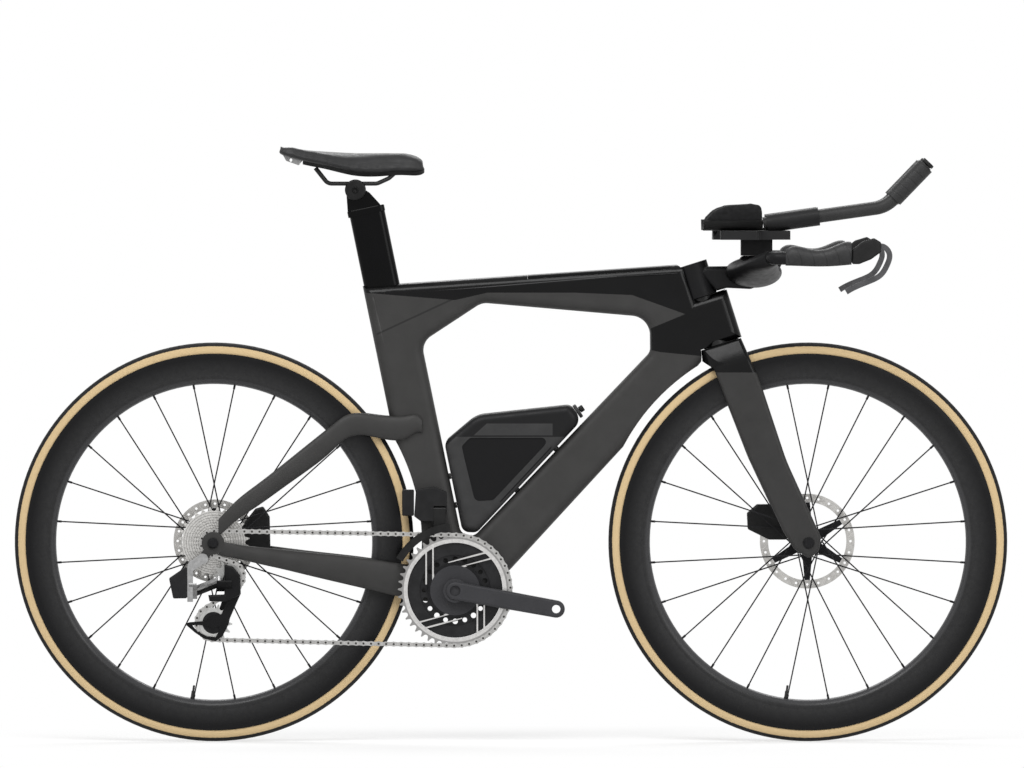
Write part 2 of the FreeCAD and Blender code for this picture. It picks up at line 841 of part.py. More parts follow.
def pin_distances(swing, links):
    """Distances along the line of pins set one pitch apart, one more than there are links."""
    pieces = chain_run(swing)
    found = [0.0]
    for link in range(links):
        here = run_point(pieces, found[-1])
        low = found[-1] + mm.chain_pitch / 2
        high = found[-1] + mm.chain_pitch * 2
        for step in range(SOLVER_STEPS):
            middle = (low + high) / 2
            if flat_gap(here, run_point(pieces, middle)) < mm.chain_pitch:
                low = middle
            else:
                high = middle
        found.append((low + high) / 2)
    return found


def closing_error(swing, links):
    """How far the last pin runs past the first one, along the line."""
    return pin_distances(swing, links)[-1] - sum(piece[1] for piece in chain_run(swing))


def even_links(swing):
    """The even number of links that comes nearest to the line's length."""
    return 2 * round(sum(piece[1] for piece in chain_run(swing)) / mm.chain_pitch / 2)


links = even_links(mm.cage_swing)
low_swing = mm.cage_swing - SWING_SEARCH
high_swing = mm.cage_swing + SWING_SEARCH
for step in range(24):
    swing = (low_swing + high_swing) / 2
    if closing_error(swing, links) > 0:
        low_swing = swing
    else:
        high_swing = swing
cage_swing = swing
tension_point = tension_centre(cage_swing)
run = chain_run(cage_swing)
pins = [run_point(run, distance) for distance in pin_distances(cage_swing, links)[:-1]]


def plate(thickness, low):
    """A waisted chain plate from one pin to the next, along x."""
    reach = mm.plate_end_radius
    waist = mm.plate_waist
    pitch = mm.chain_pitch
    # the waist's arcs touch the plate's ends at a slant
    slant = math.radians(62.0)
    lean = Vector(math.cos(slant) * reach, math.sin(slant) * reach, 0)
    far = Vector(pitch, 0, 0)
    mirror_lean = Vector(-lean.x, lean.y, 0)
    edges = [
        Part.Arc(Vector(lean.x, -lean.y, 0), Vector(-reach, 0, 0), lean),
        Part.Arc(lean, Vector(pitch / 2, waist, 0), far + mirror_lean),
        Part.Arc(far + mirror_lean, Vector(pitch + reach, 0, 0), far - lean),
        Part.Arc(far - lean, Vector(pitch / 2, -waist, 0), Vector(lean.x, -lean.y, 0)),
    ]
    face = Part.Face(Part.Wire([edge.toShape() for edge in edges]))
    face.translate(Vector(0, 0, low))
    return face.extrude(Vector(0, 0, thickness))


def inner_link():
    """Two inner plates on two rollers, bored for the pins."""
    half = mm.chain_inner_width / 2
    link = plate(mm.plate_thickness, half)
    link = link.fuse(plate(mm.plate_thickness, -half - mm.plate_thickness))
    ends = (Vector(0, 0, 0), Vector(mm.chain_pitch, 0, 0))
    for end in ends:
        roller = Part.makeCylinder(mm.roller_radius, mm.chain_inner_width, end - Vector(0, 0, half))
        link = link.fuse(roller)
    depth = half + mm.plate_thickness
    for end in ends:
        hole = mm.pin_radius + mm.chain_play
        link = link.cut(Part.makeCylinder(hole, depth * 4, end - Vector(0, 0, depth * 2)))
    return link.removeSplitter()


def outer_link():
    """Two outer plates on two pins."""
    inside = mm.chain_inner_width / 2 + mm.plate_thickness + mm.chain_play
    link = plate(mm.plate_thickness, inside)
    link = link.fuse(plate(mm.plate_thickness, -inside - mm.plate_thickness))
    for end in (Vector(0, 0, 0), Vector(mm.chain_pitch, 0, 0)):
        pin = Part.makeCylinder(mm.pin_radius, inside * 2, end - Vector(0, 0, inside))
        link = link.fuse(pin)
    return link.removeSplitter()


def link_frame(start, end):
    """The placement that lays a link from one pin to the next."""
    along = (end - start).normalize()
    across = Vector(0, 0, 1) - along * along.z
    across.normalize()
    up = across.cross(along)
    return Placement(start, Rotation(along, up, across, "ZXY"))


link_shapes = [inner_link(), outer_link()]
chain = []
for place, pin in enumerate(pins):
    link = link_shapes[place % 2].copy()
    link.Placement = link_frame(pin, pins[(place + 1) % len(pins)])
    chain.append(link)
feature("chain", Part.makeCompound(chain), upright())


def tooth_phase(centre, radius):
    """The direction, from a wheel's centre, of a chain pin that sits on its pitch circle."""
    nearest = min(pins, key=lambda pin: abs(flat_gap(pin, centre) - radius))
    return math.atan2(nearest.y - centre.y, nearest.x - centre.x)


def toothed_face(teeth, phase):
    """The flat face of a toothed wheel: a seat for every roller and a blunt tooth between."""
    radius = pitch_radius(teeth)
    seat = mm.roller_radius + mm.tooth_seat_gap
    sweep = math.radians(TOOTH_SEAT_SWEEP)
    tip = radius + mm.tooth_rise
    half_tip = mm.tooth_tip_width / 2 / tip
    step = 2 * math.pi / teeth
    corners = []
    for tooth in range(int(teeth)):
        angle = phase + step * tooth
        out = Vector(math.cos(angle), math.sin(angle), 0)
        aside = Vector(-out.y, out.x, 0)
        middle = out * radius
        low = middle - out * seat * math.cos(sweep) - aside * seat * math.sin(sweep)
        high = middle - out * seat * math.cos(sweep) + aside * seat * math.sin(sweep)
        crest = angle + step / 2
        first = Vector(math.cos(crest - half_tip), math.sin(crest - half_tip), 0) * tip
        second = Vector(math.cos(crest + half_tip), math.sin(crest + half_tip), 0) * tip
        corners.append((low, middle - out * seat, high, first, second))
    edges = []
    for place, (low, floor, high, first, second) in enumerate(corners):
        following = corners[(place + 1) % len(corners)][0]
        edges.append(Part.Arc(low, floor, high).toShape())
        edges.append(Part.LineSegment(high, first).toShape())
        edges.append(Part.LineSegment(first, second).toShape())
        edges.append(Part.LineSegment(second, following).toShape())
    return Part.Face(Part.Wire(edges))


def toothed_wheel(teeth, phase, bore, place, thickness):
    """A toothed wheel about the z axis, its middle at a place along it."""
    low = Vector(0, 0, place - thickness / 2)
    face = toothed_face(teeth, phase)
    face.translate(low)
    return face.extrude(Vector(0, 0, thickness)).cut(Part.makeCylinder(bore, thickness, low))


# The cassette: twelve sprockets on one barrel that runs on the rear axle
LOCKRING_SHARE = 0.86
barrel_start = float(largest_sprocket_face)
barrel_end = mm.smallest_sprocket_place + mm.sprocket_thickness
cap_end = mm.rear_half_spacing - mm.seat_gap
axle_bore = mm.axle_radius + mm.running_gap
cassette = ring(mm.freehub_radius, axle_bore, barrel_start, barrel_end)
cassette = cassette.fuse(ring(mm.freehub_radius * LOCKRING_SHARE, axle_bore, barrel_end,
                              cap_end - mm.clear_gap))
cassette = cassette.fuse(ring(mm.hub_cap_radius, axle_bore, cap_end - mm.clear_gap, cap_end))
sprockets = []
for place, teeth in enumerate(CASSETTE_TEETH):
    phase = 0.0
    if place == CHAIN_SPROCKET:
        phase = tooth_phase(rear_axle, pitch_radius(teeth))
    along = mm.smallest_sprocket_place - mm.sprocket_spacing * place
    bore = mm.freehub_radius - mm.clear_gap
    sprockets.append(toothed_wheel(teeth, phase, bore, along, mm.sprocket_thickness))
cassette = cassette.fuse(sprockets)
feature("cassette", cassette, upright(rear_axle))

# The chainrings: a toothed silver band on four hollow arms, and a dark smaller ring with its panel
RING_ARM_TURNS = (90.0, 14.0, 270.0, 194.0)
RING_HOLE_SHARES = (0.62, 0.86)
RING_HOLES = 20
outer_pitch = pitch_radius(mm.outer_ring_teeth)
inner_pitch = pitch_radius(mm.inner_ring_teeth)
band_inner = outer_pitch - mm.ring_band
outer_phase = tooth_phase(bracket, outer_pitch)
outer_ring = toothed_wheel(mm.outer_ring_teeth, outer_phase, band_inner, mm.chainring_place,
                           mm.tooth_thickness)
arm_low = mm.chainring_place - mm.tooth_thickness / 2
arm_blank = Part.makeBox(outer_pitch, mm.ring_arm_width, mm.ring_arm_thickness,
                         Vector(0, mm.ring_arm_offset, arm_low))
pocket_size = mm.ring_arm_width - mm.ring_arm_wall * 2
arm_pocket = Part.makeBox(outer_pitch, pocket_size, mm.ring_arm_thickness,
                          Vector(0, mm.ring_arm_offset + mm.ring_arm_wall, arm_low))
inside_band = Part.makeCylinder(band_inner + mm.clear_gap, mm.ring_arm_thickness, Vector(0, 0, arm_low))
hollow_end = ring(band_inner, mm.spider_radius, arm_low, arm_low + mm.ring_arm_thickness)
arm = arm_blank.common(inside_band).cut(arm_pocket.common(hollow_end))
arms = []
for turn in RING_ARM_TURNS:
    arms.append(arm.copy().rotate(Vector(0, 0, 0), Vector(0, 0, 1), turn))
outer_ring = outer_ring.fuse(arms)
outer_ring = outer_ring.fuse(ring(mm.spider_radius + mm.ring_arm_wall, mm.spider_radius, arm_low,
                                  arm_low + mm.ring_arm_thickness))
ring_bore = mm.spider_radius + mm.running_gap
outer_ring = outer_ring.cut(Part.makeCylinder(ring_bore, mm.overrun))
feature("chainring_outer", outer_ring.removeSplitter(), upright(bracket))

panel_low = mm.ring_panel_place - mm.ring_panel_thickness / 2
inner_low = mm.inner_ring_place - mm.tooth_thickness / 2
panel_outer = band_inner - mm.seat_gap
panel_inner = panel_outer - mm.ring_panel_band
inner_ring = toothed_wheel(mm.inner_ring_teeth, 0.0, ring_bore, mm.inner_ring_place, mm.tooth_thickness)
inner_ring = inner_ring.fuse(ring(panel_outer, panel_inner, panel_low, panel_low + mm.ring_panel_thickness))
inner_ring = inner_ring.fuse(ring(panel_inner + mm.ring_arm_wall, panel_inner, inner_low,
                                  panel_low + mm.ring_panel_thickness))
inner_ring = inner_ring.fuse(ring(ring_bore + mm.ring_arm_wall, ring_bore, inner_low, arm_low - mm.seat_gap))
hole_ring = (ring_bore + panel_inner + mm.ring_arm_wall) / 2
hole_size = (panel_inner - ring_bore - mm.ring_arm_wall) / 2 * RING_HOLE_SHARES[0]
holes = []
for place in range(RING_HOLES):
    angle = math.radians(360.0 / RING_HOLES * place)
    middle = Vector(math.cos(angle) * hole_ring, math.sin(angle) * hole_ring, inner_low)
    holes.append(Part.makeCylinder(hole_size * (1 if place % 2 else RING_HOLE_SHARES[1]),
                                   mm.tooth_thickness, middle))
inner_ring = inner_ring.cut(holes)
feature("chainring_inner", inner_ring.removeSplitter(), upright(bracket))


# The cranks: each a tapered arm with a boss, drawn along x and turned to its place
def make_crank(label, placement, drive_side):
    """A crank arm; the drive side carries the spider, the other side carries the spindle."""
    body = new_body(label, placement)
    root = cell.crank_root_width / 2
    tip = cell.crank_tip_radius
    face = cell.crank_face - cell.crank_thickness
    arm = new_sketch(body, "arm", "XY_Plane", face)
    outline(arm, [
        (0, -root),
        (cell.crank_length, -tip, tip),
        (cell.crank_length + tip, 0, tip),
        (cell.crank_length, tip),
        (0, root, root),
        (-root, 0, root),
    ])
    pad = padded(body, "arm", arm, cell.crank_thickness)
    document.recompute()
    rim_edges = []
    for number, edge in enumerate(pad.Shape.Edges, start=1):
        low = edge.BoundBox.ZMin
        if edge.BoundBox.ZLength < mm.closeness and abs(low - mm.crank_face) < mm.running_gap:
            rim_edges.append("Edge%d" % number)
    soft = body.newObject("PartDesign::Fillet", body.Name + "_round")
    soft.Base = (pad, rim_edges)
    soft.setExpression("Radius", cell.crank_round.text)
    body.Tip = soft
    boss_start = cell.bracket_half_width + cell.clear_gap
    boss = new_sketch(body, "boss", "XY_Plane", boss_start)
    circle(boss, cell.crank_boss_radius)
    padded(body, "boss", boss, cell.crank_face - cell.crank_round - boss_start)
    if drive_side:
        spider = new_sketch(body, "spider", "XY_Plane", cell.spider_place)
        circle(spider, cell.spider_radius)
        padded(body, "spider", spider, cell.spider_thickness)
        bore = new_sketch(body, "bore", "XY_Plane", cell.crank_face - cell.crank_cap_depth)
        circle(bore, cell.spindle_radius + cell.running_gap)
        cut = body.newObject("PartDesign::Pocket", body.Name + "_bore_pocket")
        cut.Profile = bore
        cut.setExpression("Length", cell.overrun.text)
        cap = new_sketch(body, "cap", "XY_Plane")
        circle(cap, cell.crank_cap_radius)
        pocketed(body, "cap", cap)
    else:
        spindle = new_sketch(body, "spindle", "XY_Plane",
                             -(cell.crank_face - cell.crank_cap_depth - cell.seat_gap))
        circle(spindle, cell.spindle_radius)
        padded(body, "spindle", spindle, cell.crank_face + boss_start - cell.crank_cap_depth)
        socket = new_sketch(body, "socket", "XY_Plane", cell.crank_face)
        circle(socket, cell.crank_cap_radius)
        cut = body.newObject("PartDesign::Pocket", body.Name + "_socket_pocket")
        cut.Profile = socket
        cut.setExpression("Length", cell.crank_cap_depth.text)
    thread = new_sketch(body, "thread", "XY_Plane")
    circle(thread, cell.pedal_thread_radius, cell.crank_length)
    pocketed(body, "thread", thread)


drive_crank_place = upright(bracket, -mm.crank_fall)
other_crank_place = drive_crank_place.multiply(Placement(Vector(0, 0, 0), Rotation(Vector(0, 1, 0), 180)))
make_crank("crank_arm_right", drive_crank_place, True)
make_crank("crank_arm_left", other_crank_place, False)

cup_bore = mm.spindle_radius + mm.running_gap
cup_start = mm.bracket_half_width - mm.bracket_cup_depth
cup = ring(mm.bracket_cup_radius, cup_bore, cup_start, mm.bracket_half_width)
other_cup = ring(mm.bracket_cup_radius, cup_bore, -mm.bracket_half_width, -cup_start)
feature("bottom_bracket_bearings", Part.makeCompound([cup, other_cup]), upright(bracket))

# The rear derailleur's cage and pulleys, in the cage's own frame: the lower pulley straight below
CAGE_SHARES = [
    (-0.11, 1.115), (0.145, 1.115), (0.255, 0.938), (0.336, 0.752), (0.291, 0.208), (0.303, 0.08),
    (0.267, -0.196), (0.167, -0.338), (-0.073, -0.364), (-0.291, -0.307), (-0.502, -0.223),
    (-0.502, -0.173), (-0.462, -0.143), (-0.131, -0.004), (-0.109, 0.097), (-0.046, 0.133),
    (0.104, 0.225), (0.115, 0.625), (-0.11, 0.9),
]
CAGE_WINDOW_SHARES = [
    (-0.381, -0.189), (-0.238, -0.272), (-0.029, -0.298), (0.138, -0.257), (0.173, -0.095),
    (0.13, -0.02), (0.0, -0.12), (-0.072, -0.088), (-0.332, -0.153),
]
CAGE_BACK_SHARES = [
    (-0.12, 1.1), (0.12, 1.1), (0.2, 0.8), (0.16, -0.1), (0.02, -0.16), (-0.13, -0.1), (-0.12, 0.2),
    (0.02, 0.3), (0.02, 0.75), (-0.12, 0.9),
]


def share_face(shares, size, low):
    """A flat face through points given as shares of a size."""
    points = [Vector(across * size, up * size, low) for across, up in shares]
    return Part.Face(Part.makePolygon(points + points[:1]))


cage_place = upright(tension_point, cage_swing * -1.0)
front_low = mm.cage_half_gap
cage = share_face(CAGE_SHARES, mm.cage_length, front_low)
cage = cage.extrude(Vector(0, 0, mm.cage_plate_thickness))
window = share_face(CAGE_WINDOW_SHARES, mm.cage_length, front_low)
cage = cage.cut(window.extrude(Vector(0, 0, mm.cage_plate_thickness)))
back_low = -mm.cage_half_gap - mm.cage_plate_thickness
back_plate = share_face(CAGE_BACK_SHARES, mm.cage_length, back_low)
cage = cage.fuse(back_plate.extrude(Vector(0, 0, mm.cage_plate_thickness)))
for height in (0.0, mm.cage_length):
    bolt = Part.makeCylinder(mm.cage_bolt_radius, -back_low * 2, Vector(0, height, back_low))
    cage = cage.fuse(bolt)
pivot_start = Vector(0, mm.cage_length, -back_low)
cage = cage.fuse(Part.makeCylinder(mm.cage_pivot_radius, mm.cage_pivot_length, pivot_start))
cage.translate(Vector(0, 0, chain_place))
feature("derailleur_cage", cage.removeSplitter(), cage_place)


def make_pulley(label, centre, teeth):
    """A jockey wheel that runs on its cage bolt."""
    radius = pitch_radius(teeth)
    phase = tooth_phase(centre, radius)
    bore = mm.cage_bolt_radius + mm.running_gap
    wheel = toothed_wheel(teeth, phase, bore, chain_place, mm.pulley_thickness)
    half = mm.cage_half_gap - mm.seat_gap
    wheel = wheel.fuse(ring(mm.pulley_hub_radius, bore, chain_place - half, chain_place + half))
    feature(label, wheel.removeSplitter(), upright(centre))


make_pulley("guide_pulley", guide_centre, GUIDE_TEETH)
make_pulley("tension_pulley", tension_point, TENSION_TEETH)

# The rear derailleur's slanted parallelogram: two links between the hanger arm and the knuckle
slant = math.radians(mm.link_slant)
shift_way = Vector(0, -math.sin(slant), -math.cos(slant))
link_axis = Vector(1, 0, 0).cross(shift_way)
rest_swing = math.radians(mm.link_swing)
link_way = Vector(1, 0, 0) * math.cos(rest_swing) - shift_way * math.sin(rest_swing)
link_side = link_axis.cross(link_way)
outer_pivot = rear_axle + Vector(-mm.link_pivot_back, -mm.link_pivot_drop, chain_place + mm.link_pivot_out)
inner_pivot = outer_pivot + shift_way * mm.link_spread
link_span = link_way * mm.link_length
boss_half = mm.link_boss_length / 2
plate_high = -boss_half - mm.seat_gap
plate_low = plate_high - mm.link_plate_thickness


def bar(start, end, first, first_low, first_high, second, second_low, second_high):
    """A straight bar whose section is a rectangle set out along two directions."""
    corners = [
        start + first * first_low + second * second_low,
        start + first * first_high + second * second_low,
        start + first * first_high + second * second_high,
        start + first * first_low + second * second_high,
    ]
    return Part.Face(Part.makePolygon(corners + corners[:1])).extrude(end - start)


def make_link(label, pivot):
    """One link with a bored boss at each end."""
    half_width = mm.link_bar_width / 2
    half_height = mm.link_bar_height / 2
    link = bar(pivot, pivot + link_span, link_side, -half_width, half_width, link_axis, -half_height,
               half_height)
    for end in (pivot, pivot + link_span):
        boss = rod(end - link_axis * boss_half, end + link_axis * boss_half, mm.link_boss_radius)
        link = link.fuse(boss)
    for end in (pivot, pivot + link_span):
        hole = rod(end - link_axis * mm.overrun, end + link_axis * mm.overrun,
                   mm.link_pin_radius + mm.running_gap)
        link = link.cut(hole)
    feature(label, link.removeSplitter(), upright())


def pivot_plate(pivot, back, ahead, low, high):
    """A plate square to the pivots with a pin for each link standing on it."""
    start = pivot + shift_way * low
    end = pivot + shift_way * high
    made = bar(start, end, Vector(1, 0, 0), -back, ahead, link_axis, plate_low, plate_high)
    for place in (pivot, pivot + shift_way * mm.link_spread):
        made = made.fuse(rod(place + link_axis * plate_low, place + link_axis * boss_half,
                             mm.link_pin_radius))
    return made


make_link("derailleur_outer_link", outer_pivot)
make_link("derailleur_inner_link", inner_pivot)

HANGER_ARM_SHARES = [
    (-0.06, 0.11), (-0.33, -0.08), (-0.36, -0.17), (-0.36, -1.0), (-0.23, -1.0), (-0.23, -0.28),
    (0.09, -0.06),
]
BATTERY_SHARES = [(-1.05, -0.6), (-0.54, -0.25), (-0.48, -0.315), (-0.48, -1.222), (-0.92, -1.23)]
KNUCKLE_SHARES = [
    (-0.2, 0.515), (0.17, 0.418), (0.46, 0.065), (0.49, -0.74), (-0.15, -1.06), (-0.825, -1.03),
    (-0.875, -0.775), (-0.2, -0.75),
]
hanger_point = rear_axle + Vector(-mm.hanger_back, -mm.hanger_drop, 0)
arm_start = mm.rear_half_spacing + mm.dropout_thickness + mm.seat_gap
hanger_arm = share_face(HANGER_ARM_SHARES, mm.hanger_arm_drop, arm_start)
hanger_arm = hanger_arm.extrude(Vector(0, 0, mm.hanger_arm_thickness))
hanger_boss = Part.makeCylinder(mm.hanger_radius, mm.hanger_arm_thickness, Vector(0, 0, arm_start))
hanger_bolt = Part.makeCylinder(mm.hanger_bolt_radius, mm.dropout_thickness,
                                Vector(0, 0, arm_start - mm.dropout_thickness))
derailleur_body = hanger_arm.fuse([hanger_boss, hanger_bolt])
derailleur_body.translate(hanger_point)
reach_out = mm.link_spread * 1.75
plate_end = mm.link_spread + mm.link_boss_radius
derailleur_body = derailleur_body.fuse(
    pivot_plate(outer_pivot, mm.hanger_arm_width, mm.link_boss_radius, -reach_out, plate_end))
feature("derailleur_body", derailleur_body.removeSplitter(), upright())
battery = share_face(BATTERY_SHARES, mm.battery_height, arm_start - mm.battery_depth / 2)
battery = battery.extrude(Vector(0, 0, mm.battery_depth))
battery.translate(hanger_point)
battery = battery.makeFillet(mm.link_plate_thickness, battery.Edges)
feature("derailleur_battery", battery, upright())

knuckle_start = chain_place + mm.cage_half_gap + mm.cage_plate_thickness + mm.seat_gap
knuckle = share_face(KNUCKLE_SHARES, mm.knuckle_size, knuckle_start)
knuckle = knuckle.extrude(Vector(0, 0, mm.knuckle_depth))
top_edges = []
for edge in knuckle.Edges:
    if edge.BoundBox.ZMin > knuckle_start + mm.knuckle_depth / 2:
        top_edges.append(edge)
knuckle = knuckle.makeFillet(mm.link_plate_thickness, top_edges)
knuckle.translate(guide_centre)
pivot_hole = Part.makeCylinder(mm.cage_pivot_radius + mm.running_gap, mm.cage_pivot_length + mm.clear_gap,
                               guide_centre + Vector(0, 0, knuckle_start - mm.seat_gap))
knuckle = knuckle.fuse(pivot_plate(outer_pivot + link_span, mm.link_boss_radius, mm.link_spread * 1.5,
                                   -mm.link_boss_radius, mm.link_spread + mm.link_boss_radius * 2.5))
knuckle = knuckle.cut(pivot_hole)
feature("derailleur_knuckle", knuckle.removeSplitter(), upright())

# The frame: a side outline and a front outline met in one shell, with stays and shells joined on
MAIN_SHARES = [
    ("seat", 1.0, -0.094, 0), ("steer", 1.4, -0.0275, 0), ("steer", 1.23, -0.0275, 0),
    ("steer", 1.23, 0.117, 0), ("steer", 1.0, 0.117, 0), ("steer", 1.0, -0.014, 0),
    ("steer", 0.9325, -0.1185, 0), ("seat", 0.028, 0.184, 0.113), ("seat", -0.0695, 0.0244, 0.056),
    ("seat", -0.0564, -0.0526, 0.056), ("seat", 0.015, -0.12, 0), ("seat", 0.282, -0.094, 0.15),
]
WINDOW_SHARES = [
    ("steer", 1.0606, -0.31, 0.044), ("steer", 1.2149, -0.2628, 0.088), ("seat", 0.8722, 0.265, 0.056),
    ("seat", 0.7876, 0.0526, 0.053), ("seat", 0.1252, 0.0526, 0.034),
]
FRAME_WIDTH_SHARES = [
    (0.446, 1.62), (0.756, 1.71), (0.982, 1.38), (1.28, 1.024), (1.607, 0.929), (1.935, 0.976),
    (2.262, 1.048), (2.56, 1.048),
]


def seat_point(up, forward):
    """A point of the side view, measured up the seat tube from the bracket and forward of it."""
    return bracket + seat_up * up + seat_forward * forward


def steer_point(up, forward):
    """A point of the side view, measured up the steering axis from abreast of the axle and forward of it."""
    return steer_foot + steer_up * up + steer_forward * forward


def rear_point(up, forward):
    """A point of the side view, measured up and forward from the rear axle."""
    return rear_axle + Vector(forward, up, 0)


def placed_corners(shares):
    """Corners given as shares of the seat tube's length, the crown's height or the chainstay's length."""
    scales = {
        "seat": (mm.seat_tube_length, seat_point),
        "steer": (mm.crown_height, steer_point),
        "rear": (mm.chainstay_length, rear_point),
    }
    corners = []
    for kind, up, forward, radius in shares:
        size, locate = scales[kind]
        corners.append((locate(up * size, forward * size), radius * size))
    return corners


def slab(wire, half):
    """A flat outline thickened to both sides of the middle plane."""
    face = Part.Face(wire)
    face.translate(Vector(0, 0, -half))
    return face.extrude(Vector(0, 0, half * 2))


def steer_column(radius, low, high):
    """A round column about the steering axis."""
    return rod(steer_point(low, 0), steer_point(high, 0), radius)


def wheel_space(axle, extra):
    """The round space that a turning tyre needs."""
    return Part.makeCylinder(mm.tyre_radius + extra, mm.overrun * 2, axle - Vector(0, 0, mm.overrun))


def width_band(shares, size, half_width):
    """A band across the side view whose half width follows the height."""
    points = [Vector(0, up * size, half * half_width) for up, half in shares]
    mirrored = [Vector(0, point.y, -point.z) for point in points]
    near = Part.BSplineCurve()
    near.interpolate(points)
    far = Part.BSplineCurve()
    far.interpolate(mirrored)
    edges = [
        near.toShape(),
        Part.LineSegment(points[-1], mirrored[-1]).toShape(),
        far.toShape(),
        Part.LineSegment(mirrored[0], points[0]).toShape(),
    ]
    face = Part.Face(Part.Wire(edges))
    face.translate(Vector(-mm.wheelbase, 0, 0))
    return face.extrude(Vector(mm.wheelbase * 2, 0, 0))


def side_edges(shape):
    """The edges that run along one side of a shape and do not cross its middle plane."""
    chosen = []
    for edge in shape.Edges:
        box = edge.BoundBox
        if box.ZMin * box.ZMax > 0:
            chosen.append(edge)
    return chosen


head_top = mm.crown_height + mm.head_tube_length
main = slab(rounded_wire(placed_corners(MAIN_SHARES)), mm.overrun)
main = main.cut(slab(rounded_wire(placed_corners(WINDOW_SHARES)), mm.overrun))
main = main.common(width_band(FRAME_WIDTH_SHARES, mm.tyre_radius, mm.frame_half_width))
main = main.makeFillet(mm.frame_round, side_edges(main))
frame = main.cut([wheel_space(rear_axle, mm.wheel_recess), wheel_space(front_axle, mm.wheel_recess)])

# Stays: tubes of oval section through stations, drawn for the drive side and mirrored
# Each station: ahead of the rear axle, above it, half height, out from the middle, half width, all as shares
SEAT_STAY_SHARES = [
    (0.02174, 0.0628, 0.03382, 1.063, 0.05493),
    (0.07971, 0.1184, 0.03865, 1.061, 0.05775),
    (0.1691, 0.1855, 0.043, 0.9254, 0.09437),
    (0.2899, 0.2754, 0.04783, 0.669, 0.1197),
    (0.3816, 0.3447, 0.05242, 0.5211, 0.1127),
    (0.4831, 0.4261, 0.05266, 0.4225, 0.107),
    (0.5507, 0.4746, 0.0471, 0.3873, 0.09859),
    (0.6522, 0.4734, 0.04589, 0.3521, 0.09577),
    (0.7971, 0.4734, 0.04348, 0.3239, 0.09155),
    (0.8454, 0.4734, 0.02899, 0.3028, 0.07042),
]
CHAIN_STAY_SHARES = [
    (0.02174, -0.01932, 0.02778, 1.063, 0.05493),
    (0.07971, -0.03019, 0.02899, 1.061, 0.05775),
    (0.1449, -0.04275, 0.03188, 0.9648, 0.1056),
    (0.1884, -0.05072, 0.03454, 0.9155, 0.09859),
    (0.2657, -0.06425, 0.03961, 0.7183, 0.1127),
    (0.4106, -0.09058, 0.04928, 0.5141, 0.1197),
    (0.6039, -0.1244, 0.06159, 0.4085, 0.1197),
    (0.7488, -0.1522, 0.06763, 0.3803, 0.1197),
    (0.8816, -0.1715, 0.07005, 0.3732, 0.1197),
]


def oval(middle, first, second):
    """An ellipse about a point, through two half axes square to each other, as a wire."""
    if first.Length < second.Length:
        first, second = second, first
    return Part.Wire([Part.Ellipse(middle + first, middle + second, middle).toShape()])


def stay_tube(shares):
    """A smooth tube through oval stations."""
    sections = []
    for ahead, up, half_up, out, half_out in shares:
        middle = rear_point(up * mm.chainstay_length, ahead * mm.chainstay_length)
        middle.z = out * mm.rear_half_spacing
        rise = Vector(0, half_up * mm.chainstay_length, 0)
        sections.append(oval(middle, rise, Vector(0, 0, half_out * mm.rear_half_spacing)))
    return Part.makeLoft(sections, True)


stays = [stay_tube(SEAT_STAY_SHARES), stay_tube(CHAIN_STAY_SHARES)]
dropout_face = Vector(0, 0, mm.rear_half_spacing)
stays.append(Part.makeCylinder(mm.dropout_radius, mm.dropout_thickness, rear_axle + dropout_face))
other_stays = [stay.mirror(Vector(0, 0, 0), Vector(0, 0, 1)) for stay in stays]
tab_way = (hanger_point - rear_axle).normalize()
tab_side = Vector(-tab_way.y, tab_way.x, 0)
tab_half = mm.hanger_tab_width / 2
tab = bar(rear_axle, hanger_point, tab_side, -tab_half, tab_half, Vector(0, 0, 1),
          mm.rear_half_spacing, mm.rear_half_spacing + mm.dropout_thickness)
tab_end = Part.makeCylinder(mm.hanger_radius, mm.dropout_thickness, hanger_point + dropout_face)
shell_start = bracket - Vector(0, 0, mm.bracket_half_width)
shell = Part.makeCylinder(mm.bracket_shell_radius, mm.bracket_half_width * 2, shell_start)
frame = frame.fuse(stays + other_stays + [tab, tab_end, shell])

# Bores and pockets in the frame
across = Vector(0, 0, mm.overrun)
cuts = [Part.makeCylinder(axle_bore, mm.overrun * 2, rear_axle - across)]
cuts.append(Part.makeCylinder(mm.hanger_bolt_radius + mm.running_gap, mm.overrun, hanger_point))
cuts.append(Part.makeCylinder(mm.bracket_core_radius, mm.overrun * 2, bracket - across))
cup_hole = mm.bracket_cup_radius + mm.running_gap
cuts.append(Part.makeCylinder(cup_hole, mm.overrun, bracket + Vector(0, 0, cup_start)))
cuts.append(Part.makeCylinder(cup_hole, mm.overrun, bracket - Vector(0, 0, cup_start) - across))
bearing_hole = mm.head_bearing_radius + mm.running_gap
cuts.append(steer_column(mm.steerer_radius + mm.clear_gap, mm.crown_height - mm.wheel_recess,
                         head_top + mm.wheel_recess))
cuts.append(steer_column(bearing_hole, mm.crown_height - mm.wheel_recess,
                         mm.crown_height + mm.head_bearing_height))
cuts.append(steer_column(bearing_hole, head_top - mm.head_bearing_height, head_top + mm.wheel_recess))
cuts.append(steer_column(mm.stem_well_radius, head_top, head_top + mm.overrun))
cuts.append(steer_column(mm.crown_recess_radius, mm.crown_height - mm.overrun / 2, mm.crown_height))


def post_prism(grow, low, high):
    """The seat post's rounded section run along the seat tube, grown by a gap."""
    corners = []
    for forward, out in ((-1, -1), (1, -1), (1, 1), (-1, 1)):
        along = -mm.post_rear - grow if forward < 0 else mm.post_length - mm.post_rear + grow
        corner = seat_point(low, along)
        corner.z = out * (mm.post_half_width + grow)
        corners.append((corner, mm.post_round + grow))
    return Part.Face(rounded_wire(corners)).extrude(seat_up * (high - low))


